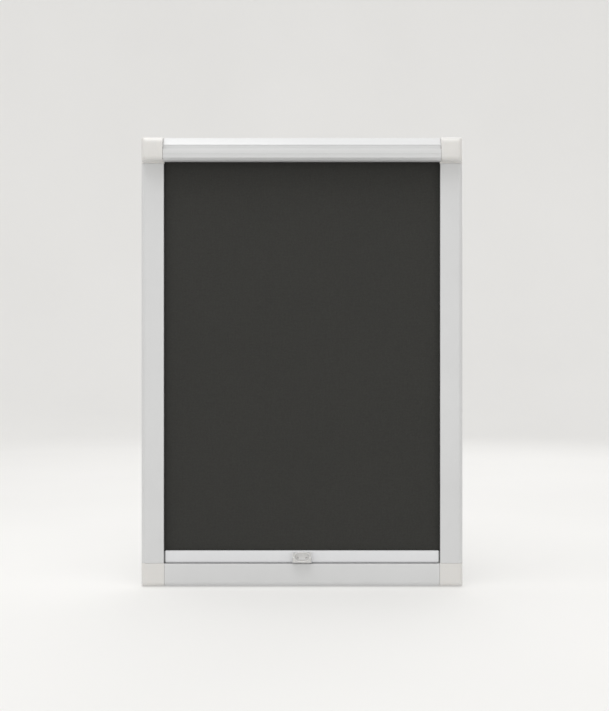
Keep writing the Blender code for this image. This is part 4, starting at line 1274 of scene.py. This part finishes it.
def shaft_and_pin():
    shaft_low, shaft_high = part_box("spring_shaft")
    clip_low, clip_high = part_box("shaft_clip")
    radius, groove, ease = SHAFT_RADIUS, SHAFT_RADIUS - SHAFT_GROOVE, SHAFT_EASE
    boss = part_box("spring_end_plug")[0].x - BOSS_GAP
    outline = [
        (0, shaft_high.x),
        (radius - ease, shaft_high.x),
        (radius, shaft_high.x - ease),
        (radius, clip_high.x + GAP),
        (groove, clip_high.x + GAP),
        (groove, clip_low.x - GAP),
        (radius, clip_low.x - GAP),
        (radius, boss + ease),
        (radius - ease, boss),
        (0, boss),
    ]
    shaft = turned("shaft_form", outline, 48)
    low = (roller_depth - SHAFT_SQUARE, roller_z - SHAFT_SQUARE)
    high = (roller_depth + SHAFT_SQUARE, roller_z + SHAFT_SQUARE)
    square = soft_box(low, high, EDGE_RADIUS)
    end = extrusion("square", [square], shaft_low.x, boss + WALL, across)
    settle(carved("spring_shaft_detail", shaft, [end]), "spring_shaft")

    pin_low, pin_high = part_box("idle_pin")
    outline = [
        (0, pin_high.x),
        (PIN_RADIUS - ease, pin_high.x),
        (PIN_RADIUS, pin_high.x - ease),
        (PIN_RADIUS, pin_low.x + ease),
        (PIN_RADIUS - ease, pin_low.x),
        (0, pin_low.x),
    ]
    settle(turned("idle_pin_detail", outline, 48), "idle_pin")

    bore, reach = groove + GAP, (clip_high.z - clip_low.z) / 2
    ring = [
        *arc((roller_depth, roller_z), (reach, reach), -55, 235, 56),
        *arc((roller_depth, roller_z), (bore, bore), 235, -55, 40),
    ]
    settle(extrusion("shaft_clip_detail", [ring], clip_low.x, clip_high.x, across), "shaft_clip")


# Fasteners and window brackets


def screw(node):
    """A pan-head screw with a cross recess and a real thread. Its head faces the window."""
    low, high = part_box(node)
    x, z = (low.x + high.x) / 2, (low.z + high.z) / 2
    head_radius, sides = (high.x - low.x) / 2, SCREW_SIDES
    seat = high.y - SCREW_HEAD
    length = seat - low.y
    rings = int(length / SCREW_PITCH * RINGS_PER_PITCH)
    shape = bmesh.new()
    profile = [
        (SCREW_FLAT, SCREW_HEAD),
        (SCREW_FLAT + SCREW_DOME[0], SCREW_HEAD - SCREW_DOME[1]),
        (head_radius - SCREW_SHOULDER[0], SCREW_RIM + SCREW_SHOULDER[1]),
        (head_radius, SCREW_RIM),
        (head_radius, 0),
    ]
    layers = [[(radius, along)] * sides for radius, along in profile]
    for k in range(rings + 1):
        along = -length * k / rings
        taper = min(1.0, (length + along) / SCREW_POINT + SCREW_TIP_SHARE)
        layer = []
        for i in range(sides):
            phase = (along / SCREW_PITCH + i / sides) % 1
            ridge = SCREW_RIDGE * (1 - abs(2 * phase - 1))
            layer.append(((SCREW_SHANK + ridge) * taper, along))
        layers.append(layer)
    circles = []
    for layer in layers:
        circle = []
        for i, (radius, along) in enumerate(layer):
            angle = 2 * pi * i / sides
            place = (x + radius * cos(angle), seat + along, z + radius * sin(angle))
            circle.append(shape.verts.new(place))
        circles.append(circle)
    join_rings(shape, circles)
    shape.faces.new(circles[0])
    shape.faces.new(circles[-1][::-1])
    form = object_from(finished_mesh(shape, "screw_form"), "screw_form")
    start, end = -(seat + 2 * SCREW_HEAD), -(seat + SCREW_HEAD - CROSS_DEPTH)
    arms = []
    for wide, tall in (CROSS, CROSS[::-1]):
        outline = soft_box((x - wide, z - tall), (x + wide, z + tall), CROSS_RADIUS)
        arms.append(extrusion("arm", [outline], start, end, forward))
    settle(carved(f"{node}_detail", form, (), arms), node)


def bracket(node):
    """A spring-steel clip with eased bends, and its blade with rounded corners."""
    low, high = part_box(node)
    half = SHEET_STEEL / 2
    base = GAP + half
    raised = WALL + 2 * GAP + half
    first = OUTER_FOOT + 3 * GAP + half
    last = profile_width - INNER_FOOT - 3 * GAP - half
    line = soft(
        (OUTER_FOOT / 2, raised, 0),
        (first, raised, BEND_RADIUS),
        (first + BEND_RUN, base, BEND_RADIUS),
        (last - BEND_RUN, base, BEND_RADIUS),
        (last, raised, BEND_RADIUS),
        (profile_width - WALL - 3 * GAP, raised, 0),
        segments=5,
    )
    sides = ([], [])
    for i, point in enumerate(line):
        before, after = Vector(line[max(i - 1, 0)]), Vector(line[min(i + 1, len(line) - 1)])
        along = (after - before).normalized()
        normal = Vector((-along.y, along.x)) * half
        sides[0].append(tuple(Vector(point) + normal))
        sides[1].append(tuple(Vector(point) - normal))
    strip = extrusion("strip", [sides[0] + sides[1][::-1]], low.z, high.z, upright)
    blade_x = edge_x - last + BLADE_SETBACK
    blade_low, blade_high = low.z + BLADE_INSET, high.z - BLADE_INSET
    outline = soft(
        (base, blade_low, 0),
        (-high.y, blade_low, BLADE_RADIUS),
        (-high.y, blade_high, BLADE_RADIUS),
        (base, blade_high, 0),
        segments=8,
    )
    blade = extrusion("blade", [outline], blade_x, blade_x + SHEET_STEEL, across)
    name = f"{node}_detail"
    made = carved(name, strip, [blade])
    settle(left_hand(made, name) if "left" in node else made, node)


# Camera, light and floor


def soft_light(name, place, target, size, power):
    """A softbox that lights the object but isn't seen itself."""
    light = bpy.data.lights.new(name, "AREA")
    light.shape = "RECTANGLE"
    light.size, light.size_y = size
    light.energy = power
    made = bpy.data.objects.new(name, light)
    bpy.context.scene.collection.objects.link(made)
    made.location = place
    made.rotation_euler = (Vector(target) - Vector(place)).to_track_quat("-Z", "Y").to_euler()
    made.visible_camera = False


def backdrop():
    """A pale floor that curves up, far off, into a wall all round, and glows a little."""
    sweep = arc((STAGE_RADIUS, STAGE_CURVE), (STAGE_CURVE, STAGE_CURVE), 270, 360, 12)
    profile = [*sweep, (STAGE_RADIUS + STAGE_CURVE, STAGE_HEIGHT)]
    sides = 96
    shape = bmesh.new()
    centre = shape.verts.new((0, 0, 0))
    turns = [2 * pi * i / sides for i in range(sides)]
    rings = [
        [shape.verts.new((radius * cos(turn), radius * sin(turn), z)) for turn in turns]
        for radius, z in profile
    ]
    for i in range(sides):
        shape.faces.new((centre, rings[0][i - 1], rings[0][i]))
    for inner, outer in zip(rings, rings[1:]):
        for i in range(sides):
            shape.faces.new((inner[i - 1], outer[i - 1], outer[i], inner[i]))
    floor = object_from(finished_mesh(shape, "floor"), "floor")
    floor.location = (0, 0, -FLOOR_GAP)
    paint = Nodes("pale_floor")
    tone = paint.ramp(paint.noise(1.5, 2), (0.50, 0.497, 0.49), (0.52, 0.517, 0.51))
    paint.link(tone, paint.shader.inputs["Base Color"])
    flat = {
        "Roughness": 0.8,
        "Specular IOR Level": 0.2,
        "Emission Color": (1.0, 0.992, 0.975, 1),
        "Emission Strength": STAGE_GLOW,
    }
    for entry, value in flat.items():
        paint.shader.inputs[entry].default_value = value
    floor.data.materials.append(paint.material)


def studio():
    scene = bpy.context.scene
    scene.view_settings.view_transform = "Standard"
    camera = bpy.data.cameras.new("camera")
    camera.lens = CAMERA_LENS
    camera.sensor_width = 36
    camera.clip_end = 50
    view = bpy.data.objects.new("camera", camera)
    view.location = CAMERA_PLACE
    view.rotation_euler = (pi / 2, 0, 0)
    scene.collection.objects.link(view)
    scene.camera = view

    middle = (0, 0, frame_top / 2)
    soft_light("overhead", (-0.4, -0.5, 2.4), middle, (2.2, 1.4), OVERHEAD_POWER)
    soft_light("low_front", (0.1, -2.3, 0.35), (0, 0, 0.3), (2.4, 0.5), LOW_POWER)
    soft_light("behind", (0.6, 2.4, 1.6), middle, (2.4, 1.6), BEHIND_POWER)

    world = bpy.data.worlds.new("studio")
    scene.world = world
    world.use_nodes = True
    background = world.node_tree.nodes["Background"]
    background.inputs["Color"].default_value = (1.0, 0.995, 0.985, 1)
    background.inputs["Strength"].default_value = SKY_STRENGTH
    backdrop()


def build():
    frame_extrusions()
    bottom_corners()
    cassette()
    end_cap("left_end_cap_detail", "left_end_cap", square_socket)
    end_cap("right_end_cap_detail", "right_end_cap", round_socket)
    cloth, flat = fabric()
    roll = cloth_roll()
    hem_bar()
    spline()
    pull_tab()
    roller_pieces()
    spring()
    shaft_and_pin()
    for node in sorted(slot_of):
        if node.endswith("_screw"):
            screw(node)
        if node.endswith("_bracket"):
            bracket(node)
    for node, piece in frame["nodes"].items():
        piece.data.materials.clear()
        piece.data.materials.append(special_finishes.get(node, finishes[slot_of[node]]))


studio()
build()
